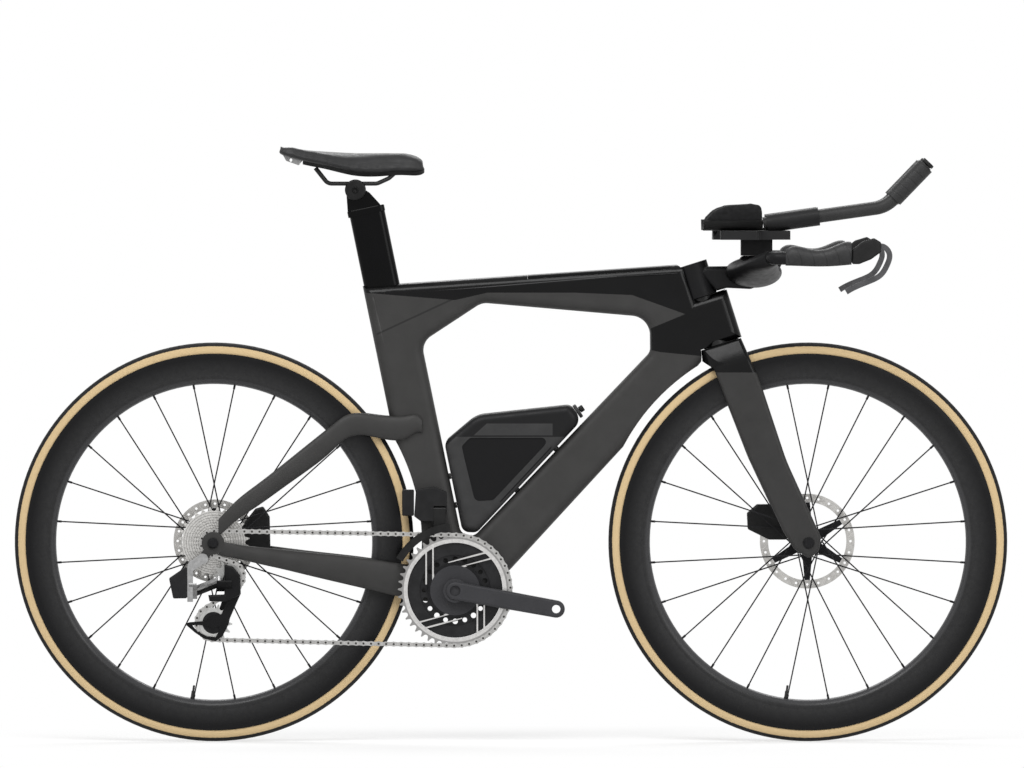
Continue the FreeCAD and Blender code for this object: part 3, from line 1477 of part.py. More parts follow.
post_floor = mm.seat_tube_length - mm.post_insert - mm.post_travel
cuts.append(post_prism(mm.seat_gap, post_floor, mm.seat_tube_length + mm.overrun))
wedge_start = mm.post_length - mm.post_rear + mm.seat_gap
wedge_low = mm.seat_tube_length - mm.wedge_drop - mm.wedge_height


def wedge_block(grow):
    """The block that grips the seat post, grown by a gap where the frame is cut for it."""
    low = seat_point(wedge_low - grow, 0)
    high = seat_point(wedge_low + mm.wedge_height + grow, 0)
    half = mm.wedge_half_width + grow
    return bar(low, high, seat_forward, wedge_start - grow, wedge_start + mm.wedge_length + grow,
               Vector(0, 0, 1), -half, half)


cuts.append(wedge_block(mm.seat_gap))
for cut in cuts:
    frame = frame.cut(cut)

# The top tube's lid: a slice of the tube itself, set in a pocket of its own shape
LID_SHARES = (0.51, 0.95)
main_corners = placed_corners(MAIN_SHARES)
lid_way = main_corners[1][0] - main_corners[0][0]
lid_down = Vector(lid_way.y, -lid_way.x, 0).normalize()
lid_start = main_corners[0][0] + lid_way * LID_SHARES[0]
lid_end = main_corners[0][0] + lid_way * LID_SHARES[1]
lid_along = (lid_end - lid_start).normalize()


def lid_block(grow):
    """The slice under the top tube's upper face that the lid is cut from."""
    return bar(lid_start - lid_along * grow, lid_end + lid_along * grow, lid_down, -mm.wheel_recess,
               mm.lid_depth + grow, Vector(0, 0, 1), -mm.overrun, mm.overrun)


lid = frame.common(lid_block(0))
frame = frame.cut(lid_block(mm.seat_gap))

# The bottle in the frame triangle, and the bosses on the tubes that carry it
BOTTLE_SHARES = [
    (-0.077, 1.029, 0.08), (0.149, 1.219, 0.2), (0.804, 1.289, 0.06), (0.879, 1.178, 0.08),
    (0.149, 0.397, 0.06),
    (0.05, 0.401, 0.06),
]
PANEL_SHARES = [
    (0.045, 1.0, 0.03), (0.102, 1.058, 0.03), (0.659, 1.058, 0.03), (0.612, 0.994, 0.03),
    (0.264, 0.623, 0.04),
    (0.137, 0.617, 0.04), (0.067, 0.901, 0.05),
]
BOSS_SHARES = [(0.25, 3), (0.62, 3), (0.3, 5), (0.62, 5)]
bottle_corners = []
for forward, up, radius in BOTTLE_SHARES:
    bottle_corners.append((bracket + Vector(forward, up, 0) * mm.bottle_size, radius * mm.bottle_size))
bottle = slab(rounded_wire(bottle_corners), mm.bottle_half_width)
bottle = bottle.makeFillet(mm.bottle_round, side_edges(bottle))
panel_corners = []
for forward, up, radius in PANEL_SHARES:
    panel_corners.append((bracket + Vector(forward, up, 0) * mm.bottle_size, radius * mm.bottle_size))
panel = slab(rounded_wire(panel_corners), mm.overrun)
bottle = bottle.cut(panel.cut(slab(rounded_wire(panel_corners), mm.bottle_half_width - mm.panel_depth)))
bosses = []
for share, edge in BOSS_SHARES:
    first = bottle_corners[edge][0]
    second = bottle_corners[(edge + 1) % len(bottle_corners)][0]
    place = first + (second - first) * share
    way = (second - first).normalize()
    outward = Vector(-way.y, way.x, 0)
    boss = rod(place - outward * mm.boss_radius, place + outward * mm.boss_length, mm.boss_radius)
    moved = bottle.copy()
    moved.translate(outward * mm.seat_gap)
    bosses.append(boss.cut(moved))
for boss in bosses:
    frame = frame.fuse(boss)
feature("frame", frame, upright())
feature("bottle", bottle, upright())
mouth_first = bottle_corners[2][0]
mouth_second = bottle_corners[3][0]
mouth_way = (mouth_second - mouth_first).normalize()
mouth_out = Vector(-mouth_way.y, mouth_way.x, 0)
mouth = (mouth_first + mouth_second) / 2 + mouth_out * mm.seat_gap
cap_top = mouth + mouth_out * mm.cap_length
cap = rod(mouth, cap_top, mm.cap_radius)
cap = cap.makeFillet(mm.clear_gap, cap.Edges)
cap = cap.cut(rod(mouth, cap_top + mouth_out * mm.overrun, mm.valve_stem_radius + mm.running_gap))
feature("bottle_cap", cap, upright())
valve_low = cap_top + mouth_out * mm.seat_gap
valve = rod(valve_low, valve_low + mouth_out * mm.valve_head_length, mm.valve_head_radius)
valve = valve.makeFillet(mm.clear_gap, valve.Edges)
valve = valve.fuse(rod(mouth + mouth_out * mm.seat_gap, valve_low + mouth_out * mm.clear_gap,
                       mm.valve_stem_radius))
feature("bottle_valve", valve.removeSplitter(), upright())
feature("top_tube_lid", lid.removeSplitter(), upright())
feature("seat_wedge", wedge_block(0), upright())

bearing_bore = mm.steerer_radius + mm.running_gap
bearings = []
for low in (mm.crown_height, head_top - mm.head_bearing_height):
    high = low + mm.head_bearing_height
    bearings.append(steer_column(mm.head_bearing_radius, low,
                                 high).cut(steer_column(bearing_bore, low, high)))
feature("headset_bearings", Part.makeCompound(bearings), upright())

# The fork: a side outline met with a front outline, its steerer standing in the head tube
FORK_SIDE_SHARES = [
    ("steer", 0.996, -0.08, 0), ("steer", 0.946, -0.091, 0), ("steer", 0.899, -0.052, 0.06),
    ("steer", 0.453, -0.022, 0.6), ("steer", 0.082, 0.028, 0.2), ("steer", -0.009, 0.052, 0.03),
    ("steer", -0.072, 0.1055, 0.03), ("steer", -0.05, 0.16, 0.03), ("steer", 0.0088, 0.187, 0.04),
    ("steer", 0.393, 0.141, 0.8), ("steer", 0.779, 0.1355, 0.6), ("steer", 0.996, 0.112, 0),
]
FORK_OUTER_SHARES = [
    (1.1, 0.46), (0.996, 0.48), (0.95, 0.6), (0.9, 0.71), (0.69, 0.82), (0.41, 0.96), (0.165, 1.12),
    (-0.12, 1.16),
]
FORK_GAP_SHARES = [(0.9, 0.39), (0.69, 0.48), (0.44, 0.68), (0.275, 0.87), (0.083, 1.0), (-0.12, 1.0)]


def front_band(shares, top):
    """A band seen from the front whose half width follows the height along the steering axis."""
    near = []
    far = []
    for up, half in shares:
        point = steer_point(up * mm.crown_height, -mm.overrun)
        near.append(point + Vector(0, 0, half * mm.front_half_spacing))
        far.append(point - Vector(0, 0, half * mm.front_half_spacing))
    near_curve = Part.BSplineCurve()
    near_curve.interpolate(near)
    far_curve = Part.BSplineCurve()
    far_curve.interpolate(far)
    edges = [near_curve.toShape(), Part.LineSegment(near[-1], far[-1]).toShape(), far_curve.toShape()]
    if top is None:
        edges.append(Part.LineSegment(far[0], near[0]).toShape())
    else:
        peak = steer_point(top, -mm.overrun)
        edges.append(Part.Arc(far[0], peak, near[0]).toShape())
    face = Part.Face(Part.Wire(Part.__sortEdges__(edges)))
    return face.extrude(steer_forward * mm.overrun * 2)


fork = slab(rounded_wire(placed_corners(FORK_SIDE_SHARES)), mm.overrun)
fork = fork.common(front_band(FORK_OUTER_SHARES, None))
fork = fork.makeFillet(mm.fork_round, side_edges(fork))
fork = fork.cut(front_band(FORK_GAP_SHARES, mm.fork_gap_top))
crown_low = mm.crown_height - mm.crown_rear_radius
crown_back = bar(steer_point(crown_low, 0), steer_point(mm.crown_height, 0), steer_forward, -mm.overrun, 0,
                 Vector(0, 0, 1), -mm.overrun, mm.overrun)
fork = fork.cut(crown_back.cut(steer_column(mm.crown_rear_radius, crown_low, mm.crown_height)))
steerer_top = head_top + mm.steerer_rise
fork = fork.fuse(steer_column(mm.steerer_radius, mm.crown_height - mm.head_bearing_height, steerer_top))
fork = fork.cut(Part.makeCylinder(axle_bore, mm.overrun * 2, front_axle - across))
tip_face = Vector(0, 0, mm.front_half_spacing + mm.fork_tip_thickness)
for foot in (front_axle + tip_face, front_axle - tip_face - across):
    fork = fork.cut(Part.makeCylinder(mm.tip_face_radius, mm.overrun, foot))
feature("fork", fork.removeSplitter(), upright())

# The base bar: a stem about the steering axis, a neck, a wing and two round ends
bar_origin = steer_point(head_top, 0)
NECK_SHARES = [
    (-0.036, 0.309, 0), (0.009, 0.383, 0.03), (0.41, 0.387, 0.06), (0.482, 0.516, 0.06), (0.868, 0.516, 0.06),
    (1.0, 0.442, 0.06), (0.913, 0.272, 0.1), (0.757, 0.161, 0.1), (0.594, 0.101, 0.1), (0.298, 0.116, 0.1),
    (0.164, 0.078, 0),
]
# Wing stations: out, forward, up, half length and half height, as shares of the half width
WING_SHARES = [
    (0.0, 0.426, 0.208, 0.24, 0.13), (0.25, 0.426, 0.215, 0.22, 0.11), (0.55, 0.456, 0.255, 0.165, 0.075),
    (0.8, 0.511, 0.305, 0.11, 0.068), (0.92, 0.566, 0.335, 0.07, 0.063),
]


def bar_point(forward, up, out=0):
    """A point measured forward and up from the top of the head tube, and out from the middle."""
    return bar_origin + Vector(forward, up, out)


def both_sides(shapes):
    """Shapes and their mirror images across the middle plane."""
    return shapes + [shape.mirror(Vector(0, 0, 0), Vector(0, 0, 1)) for shape in shapes]


def pipe(points, bend, radius):
    """A round tube along straight runs, its corners rounded to a bend radius."""
    edges = []
    start = points[0]
    for place in range(1, len(points) - 1):
        corner = points[place]
        back = (points[place - 1] - corner).normalize()
        ahead = (points[place + 1] - corner).normalize()
        half = back.getAngle(ahead) / 2
        reach = bend / math.tan(half)
        nearest = corner + (back + ahead).normalize() * (bend / math.sin(half) - bend)
        edges.append(Part.LineSegment(start, corner + back * reach).toShape())
        edges.append(Part.Arc(corner + back * reach, nearest, corner + ahead * reach).toShape())
        start = corner + ahead * reach
    edges.append(Part.LineSegment(start, points[-1]).toShape())
    way = points[1] - points[0]
    profile = Part.Wire([Part.Circle(points[0], way, radius).toShape()])
    return Part.Wire(edges).makePipeShell([profile], True, True)


neck_corners = []
for forward, up, radius in NECK_SHARES:
    neck_corners.append((bar_point(forward * mm.neck_size, up * mm.neck_size), radius * mm.neck_size))
neck = slab(rounded_wire(neck_corners), mm.neck_half_width)
neck = neck.makeFillet(mm.neck_round, side_edges(neck))
sections = []
for out, forward, up, half_length, half_height in WING_SHARES[::-1] + WING_SHARES[1:]:
    side = -1 if len(sections) < len(WING_SHARES) - 1 else 1
    size = mm.bar_half_width
    middle = bar_point(forward * size, up * size, out * size * side)
    sections.append(oval(middle, Vector(half_length * size, 0, 0), Vector(0, half_height * size, 0)))
wing = Part.makeLoft(sections, True)
wing_end = WING_SHARES[-1]
bar_start = bar_point(wing_end[1] * mm.bar_half_width, mm.bar_height,
                      wing_end[0] * mm.bar_half_width - mm.bar_bend_radius)
bar_corner = bar_point(wing_end[1] * mm.bar_half_width, mm.bar_height, mm.bar_half_width)
bar_end = bar_point(mm.grip_end, mm.bar_height, mm.bar_half_width)
bar_tube = pipe([bar_start, bar_corner, bar_end], mm.bar_bend_radius, mm.bar_tube_radius)
stem = steer_column(mm.stem_radius, head_top + mm.clear_gap, head_top + mm.stem_height)
base_bar = stem.fuse([neck, wing] + both_sides([bar_tube]))
base_bar = base_bar.cut(steer_column(mm.steerer_radius + mm.running_gap, head_top,
                                     steerer_top + mm.clear_gap))
feature("base_bar", base_bar.removeSplitter(), upright())

grip_start = bar_point(mm.grip_start, mm.bar_height, mm.bar_half_width)
# Stations of the grip: along it, half height, rise and half width, the last three as shares of its radius
GRIP_SHARES = [
    (0.0, 0.95, 0.0, 0.9), (0.5, 1.06, 0.0, 1.02), (0.75, 1.3, 0.3, 1.1), (0.9, 1.48, 0.58, 1.15),
    (1.0, 1.42, 0.6, 1.12),
]
sections = []
for along, half_height, rise, half_width in GRIP_SHARES:
    middle = grip_start + (bar_end - grip_start) * along + Vector(0, rise * mm.grip_radius, 0)
    upward = Vector(0, half_height * mm.grip_radius, 0)
    sections.append(oval(middle, upward, Vector(0, 0, half_width * mm.grip_radius)))
grip_run = bar_end - grip_start
grip_bore = rod(grip_start - grip_run, bar_end + grip_run, mm.bar_tube_radius + mm.running_gap)
grip = Part.makeLoft(sections, True).cut(grip_bore)
feature("bar_grips", Part.makeCompound(both_sides([grip])), upright())

# Brake hoods and levers, measured from the ends of the base bar
HOOD_SHARES = [
    (0.0, -0.2), (0.0, 0.27), (0.35, 0.55), (0.75, 0.67), (0.98, 0.53), (0.98, 0.2), (0.65, -0.04),
    (0.25, -0.2),
]
LEVER_BOSS_SHARE = 1.3
LEVER_SHARES = [
    (0.0, 0.0), (0.13, -0.034), (0.2, -0.15), (0.16, -0.34), (0.04, -0.53), (-0.2, -0.66), (-0.5, -0.79),
    (-0.6, -0.85),
]


def ribbon(points, half_width):
    """A flat band of even width along a line of points."""
    left = []
    right = []
    for place, point in enumerate(points):
        before = points[max(place - 1, 0)]
        after = points[min(place + 1, len(points) - 1)]
        way = (after - before).normalize()
        aside = Vector(-way.y, way.x, 0) * half_width
        left.append(point + aside)
        right.append(point - aside)
    left_curve = Part.BSplineCurve()
    left_curve.interpolate(left)
    right_curve = Part.BSplineCurve()
    right_curve.interpolate(right[::-1])
    edges = [
        left_curve.toShape(),
        Part.LineSegment(left[-1], right[-1]).toShape(),
        right_curve.toShape(),
        Part.LineSegment(right[0], left[0]).toShape(),
    ]
    return Part.Face(Part.Wire(edges))


hood_origin = bar_end + Vector(mm.seat_gap, 0, 0)
lever_pivot = bar_end + Vector(mm.lever_pivot_ahead, mm.lever_pivot_up, 0)
hood = share_face(HOOD_SHARES, mm.hood_size, -mm.hood_half_width)
hood = hood.extrude(Vector(0, 0, mm.hood_half_width * 2))
hood = hood.makeFillet(mm.hood_round, hood.Edges)
hood.translate(hood_origin)
slot_half = mm.lever_half_thickness + mm.seat_gap
slot_start = lever_pivot - Vector(mm.hood_round * 4, 0, 0)
slot = bar(slot_start, slot_start + Vector(mm.hood_size, 0, 0), Vector(0, 1, 0), -mm.hood_size, mm.hood_size,
           Vector(0, 0, 1), -slot_half, slot_half)
pin = Part.makeCylinder(mm.lever_pin_radius, mm.hood_half_width * 2 - mm.seat_gap,
                        lever_pivot - Vector(0, 0, mm.hood_half_width - mm.seat_gap / 2))
hood = hood.cut(slot).fuse(pin)
feature("brake_hoods", Part.makeCompound(both_sides([hood.removeSplitter()])), upright())

lever_low = Vector(0, 0, mm.lever_half_thickness)
lever_line = [lever_pivot + Vector(forward, up, 0) * mm.lever_size - lever_low for forward,
              up in LEVER_SHARES]
lever = ribbon(lever_line, mm.lever_half_width).extrude(lever_low * 2)
lever_boss = Part.makeCylinder(mm.lever_half_width * LEVER_BOSS_SHARE, mm.lever_half_thickness * 2,
                               lever_pivot - lever_low)
lever_hole = Part.makeCylinder(mm.lever_pin_radius + mm.running_gap, mm.overrun, lever_pivot - across / 2)
lever = lever.fuse(lever_boss).cut(lever_hole).removeSplitter()
for label, shape in zip(("brake_lever_right", "brake_lever_left"), both_sides([lever])):
    feature(label, shape, upright())

# The arm rests: a riser with a bridge and two sleeves, two cups, two pads, two extensions
riser_low = bar_point(mm.riser_start, mm.riser_low)
riser = Part.makeBox(mm.riser_length, mm.bridge_low - mm.riser_low + mm.clear_gap, mm.riser_half_width * 2,
                     riser_low - Vector(0, 0, mm.riser_half_width))
# Half of the bridge seen from above: forward and out as shares, the arms under the cups standing out furthest
BRIDGE_SHARES = [(0.02, 0), (0.02, 0.5), (0.12, 0.6), (0.12, 1.0), (0.66, 1.0), (0.66, 0.66), (1.12, 0.6),
                 (1.12, 0)]
bridge_low = bar_point(mm.bridge_start, mm.bridge_low)
bridge_corners = []
for forward, out in BRIDGE_SHARES[1:-1]:
    bridge_corners.append((bridge_low + Vector(forward, 0, out) * mm.bridge_size, mm.bridge_round))
for forward, out in BRIDGE_SHARES[-2:0:-1]:
    bridge_corners.append((bridge_low + Vector(forward, 0, -out) * mm.bridge_size, mm.bridge_round))
bridge = Part.Face(rounded_wire(bridge_corners)).extrude(Vector(0, mm.bridge_thickness, 0))
bolt_places = []
for ahead in (-1, 1):
    for out in (-1, 1):
        place = riser_low + Vector(mm.riser_length / 2 + ahead * mm.bridge_bolt_half_spacing, 0, 0)
        place.y = bridge_low.y + mm.bridge_thickness
        place.z = out * mm.riser_half_width / 2
        bolt_places.append(place)
extension_lean = math.radians(mm.extension_rise)
extension_way = Vector(math.cos(extension_lean), math.sin(extension_lean), 0)
tip_lean = math.radians(mm.extension_tip_rise)
tip_way = Vector(math.cos(tip_lean), math.sin(tip_lean), 0)
extension_start = bar_point(mm.extension_start, mm.extension_low, mm.extension_out)
extension_corner = extension_start + extension_way * mm.extension_length
extension_end = extension_corner + tip_way * mm.extension_tip_length
sleeve_start = extension_start + extension_way * mm.sleeve_start
sleeve = rod(sleeve_start, sleeve_start + extension_way * mm.sleeve_length, mm.sleeve_radius)
sleeve_bore = rod(extension_start - extension_way * mm.overrun, extension_corner,
                  mm.extension_radius + mm.running_gap)
riser = riser.fuse([bridge] + both_sides([sleeve])).cut(both_sides([sleeve_bore]))
up_way = Vector(0, 1, 0)
bolts = []
for place in bolt_places:
    low = place - up_way * mm.bridge_bolt_length
    riser = riser.cut(rod(low - up_way * mm.clear_gap, place + up_way * mm.clear_gap,
                          mm.bridge_bolt_radius + mm.running_gap))
    shank = rod(low, place + up_way * mm.clear_gap, mm.bridge_bolt_radius)
    head_low = place + up_way * mm.running_gap
    head = rod(head_low, head_low + up_way * mm.bridge_bolt_head_height, mm.bridge_bolt_head_radius)
    key = Part.makePolygon([head_low + Vector(math.cos(math.pi / 3 * side), 0, math.sin(math.pi / 3 * side))
                            * (mm.socket_across / math.sqrt(3)) for side in range(7)])
    key = Part.Face(key).extrude(up_way * mm.overrun)
    key.translate(up_way * (mm.bridge_bolt_head_height - mm.socket_depth))
    bolts.append(shank.fuse(head).cut(key).removeSplitter())
feature("bridge_bolts", Part.makeCompound(bolts), upright())
feature("arm_rest_riser", riser.removeSplitter(), upright())
extension = pipe([extension_start, extension_corner, extension_end], mm.extension_bend, mm.extension_radius)
stem_end = extension_end - tip_way * mm.button_stem_length
stem_floor = stem_end - tip_way * mm.button_travel * 2
extension = extension.cut(rod(stem_floor, extension_end + tip_way * mm.clear_gap,
                              mm.button_stem_radius + mm.running_gap))
feature("extensions", Part.makeCompound(both_sides([extension])), upright())
wrap_end = extension_end - tip_way * mm.clear_gap
wrap_start = extension_end - tip_way * mm.extension_grip_length
wrap = rod(wrap_start, wrap_end, mm.extension_grip_radius)
wrap = wrap.cut(rod(wrap_start, wrap_end, mm.extension_radius + mm.running_gap))
feature("extension_grips", Part.makeCompound(both_sides([wrap])), upright())
button_start = extension_end + tip_way * mm.button_travel
button = rod(button_start, button_start + tip_way * mm.button_length, mm.button_radius)
button = button.makeFillet(mm.clear_gap, button.Edges)
button = button.fuse(rod(stem_end, button_start + tip_way * mm.clear_gap,
                         mm.button_stem_radius)).removeSplitter()
for label, shape in zip(("shift_button_right", "shift_button_left"), both_sides([button])):
    feature(label, shape, upright())

# Cups and pads of the arm rests: troughs along the arm
cup_floor = bridge_low.y + mm.bridge_thickness + mm.seat_gap
trough_middle = Vector(bar_origin.x + mm.pad_start, cup_floor + mm.cup_radius, mm.pad_out)
PAD_SHARES = [
    (0.0, 0.45, 0.45), (0.06, 0.75, 0.62), (0.2, 1.0, 0.86), (0.45, 1.0, 1.02), (0.85, 1.0, 1.06),
    (0.96, 0.8, 1.0),
    (1.0, 0.45, 0.85),
]


def trough(outer, inner, spread, ahead):
    """The closed outline of a trough at one place along the arm."""
    middle = trough_middle + Vector(ahead, 0, 0)

    def around_at(radius, angle):
        turn = math.radians(angle)
        return middle + Vector(0, -radius * math.cos(turn), radius * math.sin(turn))

    edges = [
        Part.Arc(around_at(outer, -spread), around_at(outer, 0), around_at(outer, spread)).toShape(),
        Part.LineSegment(around_at(outer, spread), around_at(inner, spread)).toShape(),
        Part.Arc(around_at(inner, spread), around_at(inner, 0), around_at(inner, -spread)).toShape(),
        Part.LineSegment(around_at(inner, -spread), around_at(outer, -spread)).toShape(),
    ]
    return Part.Wire(edges)


cup_inner = mm.cup_radius - mm.cup_wall
cup = Part.Face(trough(mm.cup_radius, cup_inner, mm.cup_spread, 0)).extrude(Vector(mm.pad_length, 0, 0))
feature("arm_cups", Part.makeCompound(both_sides([cup])), upright())
pad_outer = cup_inner - mm.seat_gap
sections = []
for ahead, thickness, spread in PAD_SHARES:
    sections.append(trough(pad_outer, pad_outer - mm.pad_thickness * thickness, mm.pad_spread * spread,
                           ahead * mm.pad_length))
pad = Part.makeLoft(sections, True)
feature("arm_pads", Part.makeCompound(both_sides([pad])), upright())

# The seat post, its head and the clamp
clamp_middle = seat_point(mm.clamp_up, -mm.clamp_back)
post_low = mm.seat_tube_length - mm.post_insert
post_top = mm.seat_tube_length + mm.post_rise
post = post_prism(0, post_low, post_top)
# The head seen from the side, in shares of the clamp's radius about its middle
HEAD_SHARES = [(-0.8, -2.4), (-0.95, -0.3), (0.0, 0.3), (0.9, 0.1), (1.5, -0.3), (2.6, -1.5), (2.6, -2.4)]
head_corners = []
for forward, up in HEAD_SHARES:
    head_corners.append((clamp_middle + Vector(forward, up, 0) * mm.clamp_radius, 0))
head = slab(rounded_wire(head_corners), mm.post_half_width - mm.clear_gap)
barrel = Part.makeCylinder(mm.clamp_radius, mm.clamp_half_width * 2,
                           clamp_middle - Vector(0, 0, mm.clamp_half_width))
post = post.fuse([head, barrel])
clamp_bore = Part.makeCylinder(mm.clamp_bolt_radius + mm.running_gap, mm.overrun, clamp_middle - across / 2)
feature("seatpost", post.cut(clamp_bore).removeSplitter(), upright())

ear_in = mm.clamp_half_width + mm.seat_gap
RAIL_SHARES = [
    (-0.275, 0.15, 0.105), (-0.19, None, None), (0.15, None, None), (0.232, 0.08, 0.065),
    (0.268, 0.112, 0.045),
]
rail_points = []
for forward, up, out in RAIL_SHARES:
    rise = mm.rail_rise if up is None else up * mm.saddle_length
    aside = mm.rail_out if out is None else out * mm.saddle_length
    rail_points.append(clamp_middle + Vector(forward * mm.saddle_length, rise, aside))
rail = pipe(rail_points, mm.rail_bend, mm.rail_radius)
rail_gap = pipe(rail_points, mm.rail_bend, mm.rail_radius + mm.running_gap)
ear = Part.makeCylinder(mm.clamp_radius + mm.clear_gap, mm.ear_width, clamp_middle + Vector(0, 0, ear_in))
ear = ear.makeFillet(mm.ear_round, [ear.Edges[0]] if ear.Edges[0].CenterOfMass.z > ear_in else [ear.Edges[2]])
rail_way = Vector(mm.overrun, 0, 0)
rail_middle = clamp_middle + Vector(0, mm.rail_rise, mm.rail_out)
ear = ear.cut(rod(rail_middle - rail_way, rail_middle + rail_way, mm.rail_radius + mm.running_gap))
clamp_bolt = Part.makeCylinder(mm.clamp_bolt_radius, ear_in * 2 + mm.ear_width,
                               clamp_middle - Vector(0, 0, ear_in + mm.ear_width / 2))
clamp = clamp_bolt.fuse(both_sides([ear]))
feature("saddle_clamp", clamp.removeSplitter(), upright())
feature("saddle_rails", Part.makeCompound(both_sides([rail])), upright())

# The saddle: a padded top with drawn-in sides on a thin shell
# Each station: forward of the clamp, half width, crown height, lower edge, as shares of the length
SADDLE_SHARES = [
    (-0.524, 0.2, 0.277, 0.262), (-0.5, 0.25, 0.287, 0.246), (-0.45, 0.272, 0.286, 0.23),
    (-0.36, 0.268, 0.273, 0.205), (-0.2, 0.235, 0.26, 0.172), (0.0, 0.172, 0.25, 0.127),
    (0.17, 0.132, 0.25, 0.123),
    (0.34, 0.113, 0.249, 0.131), (0.44, 0.1, 0.236, 0.131), (0.476, 0.07, 0.207, 0.15),
]
SHELL_START = 3
SADDLE_FOOT_SHARE = 0.86
SADDLE_TOP_SHARE = 0.76
SADDLE_BULGE_SHARE = 0.45
SADDLE_CROWN_SHARE = 0.16
saddle_sections = []
shell_sections = []
for forward, half, crown, edge in SADDLE_SHARES:
    def saddle_point(across_share, height_share, drop=0):
        """A point of one station of the saddle."""
        return clamp_middle + Vector(forward, height_share,
                                     across_share * half) * mm.saddle_length - up_way * drop

    shoulder = crown - (crown - edge) * SADDLE_CROWN_SHARE
    bulge = edge + (crown - edge) * SADDLE_BULGE_SHARE
    foot = SADDLE_FOOT_SHARE
    top = SADDLE_TOP_SHARE
    saddle_sections.append(Part.Wire([
        Part.LineSegment(saddle_point(-foot, edge), saddle_point(foot, edge)).toShape(),
        Part.Arc(saddle_point(foot, edge), saddle_point(1, bulge), saddle_point(top, shoulder)).toShape(),
        Part.Arc(saddle_point(top, shoulder), saddle_point(0, crown), saddle_point(-top, shoulder)).toShape(),
        Part.Arc(saddle_point(-top, shoulder), saddle_point(-1, bulge), saddle_point(-foot, edge)).toShape(),
    ]))
    inset = foot - mm.saddle_shell_inset / (half * mm.saddle_length)
    high = mm.seat_gap
    low = mm.seat_gap + mm.saddle_shell_thickness
    shell_sections.append(Part.makePolygon([
        saddle_point(-inset, edge, low), saddle_point(inset, edge, low), saddle_point(foot, edge, high),
        saddle_point(-foot, edge, high), saddle_point(-inset, edge, low),
    ]))
shell_back = clamp_middle + Vector(SADDLE_SHARES[SHELL_START][0] * mm.saddle_length, 0, 0)
shell_tail = Part.makeBox(mm.overrun, mm.overrun, mm.overrun, shell_back - Vector(mm.overrun, 0, mm.overrun / 2))
saddle_shell = Part.makeLoft(shell_sections, True).cut(shell_tail)
saddle_shell = saddle_shell.cut(both_sides([rail_gap]))
feature("saddle_shell", saddle_shell, upright())
feature("saddle_cover", Part.makeLoft(saddle_sections, True), upright())

# The block under the saddle's tail, its top following the padded edge, with a hole across it
TAIL_FOOT_SHARES = [(-0.475, 0.2), (-0.392, 0.17)]
TAIL_HOLE_SHARES = (-0.445, 0.205)
tail_tops = []
for section in saddle_sections[1:SHELL_START + 1]:
    tail_tops.append(section.Edges[0].CenterOfMass - up_way * mm.seat_gap)
tail_tops[-1] = tail_tops[-1] + (tail_tops[-2] - tail_tops[-1]).normalize() * mm.clear_gap
tail_corners = [(point, 0) for point in tail_tops]
for forward, up in TAIL_FOOT_SHARES[::-1]:
    tail_corners.append((clamp_middle + Vector(forward, up, 0) * mm.saddle_length, 0))
tail_block = slab(rounded_wire(tail_corners), mm.tail_half_width)
tail_hole = clamp_middle + Vector(TAIL_HOLE_SHARES[0], TAIL_HOLE_SHARES[1], 0) * mm.saddle_length
tail_block = tail_block.cut(Part.makeCylinder(mm.tail_hole_radius, mm.overrun, tail_hole - across / 2))
feature("saddle_tail_mount", tail_block, upright())

# The front derailleur: a body on the drive side of the seat tube with its battery, and a cage hung from a pin
MOVER_SHARES = [
    (-1.15, 2.07), (-1.1, 2.82), (-0.6, 2.9), (-0.24, 2.75), (-0.24, 2.15), (-0.5, 1.92), (-0.95, 1.92),
]
mover_in = mm.frame_half_width + mm.seat_gap
mover = share_face(MOVER_SHARES, mm.mover_size, mover_in)
mover = mover.extrude(Vector(0, 0, mm.mover_reach - mover_in))
mover = mover.makeFillet(mm.mover_round, mover.Edges)
mover.translate(bracket)
moved_frame = frame.copy()
moved_frame.translate(Vector(0, 0, mm.seat_gap))
mover = mover.cut(moved_frame)
pivot_back = bracket + Vector(-mm.mover_pivot_back, mm.mover_pivot_up, mm.mover_pivot_out)
pivot_front = pivot_back + Vector(mm.mover_barrel_length, 0, 0)
notch_half = mm.mover_barrel_radius + mm.clear_gap
notch = bar(pivot_back - Vector(mm.seat_gap, 0, 0), pivot_back + Vector(mm.mover_size, 0, 0),
            up_way, -mm.overrun, notch_half, Vector(0, 0, 1), -notch_half, mm.overrun)
mover_pin = rod(pivot_back - Vector(mm.clear_gap, 0, 0), pivot_front + Vector(mm.clear_gap, 0, 0),
                mm.mover_pin_radius)
mover = mover.cut(notch).fuse(mover_pin)
battery_end = bracket.x + MOVER_SHARES[0][0] * mm.mover_size - mm.seat_gap
mover_battery = Part.makeBox(mm.mover_battery_length, mm.mover_battery_height, mm.mover_battery_width,
                             Vector(battery_end - mm.mover_battery_length, bracket.y + mm.mover_battery_low,
                                    mm.mover_battery_in))
mover_battery = mover_battery.makeFillet(mm.mover_round, mover_battery.Edges)
feature("front_derailleur", Part.makeCompound([mover.removeSplitter(), mover_battery]), upright())


def guide_sector(inner, outer, low, thickness, start, sweep):
    """A flat sector of a ring about the bracket."""
    place = bracket + Vector(0, 0, low)
    sector = Part.makeCylinder(outer, thickness, place, Vector(0, 0, 1), sweep)
    sector = sector.cut(Part.makeCylinder(inner, thickness, place))
    sector.rotate(place, Vector(0, 0, 1), start)
    return sector


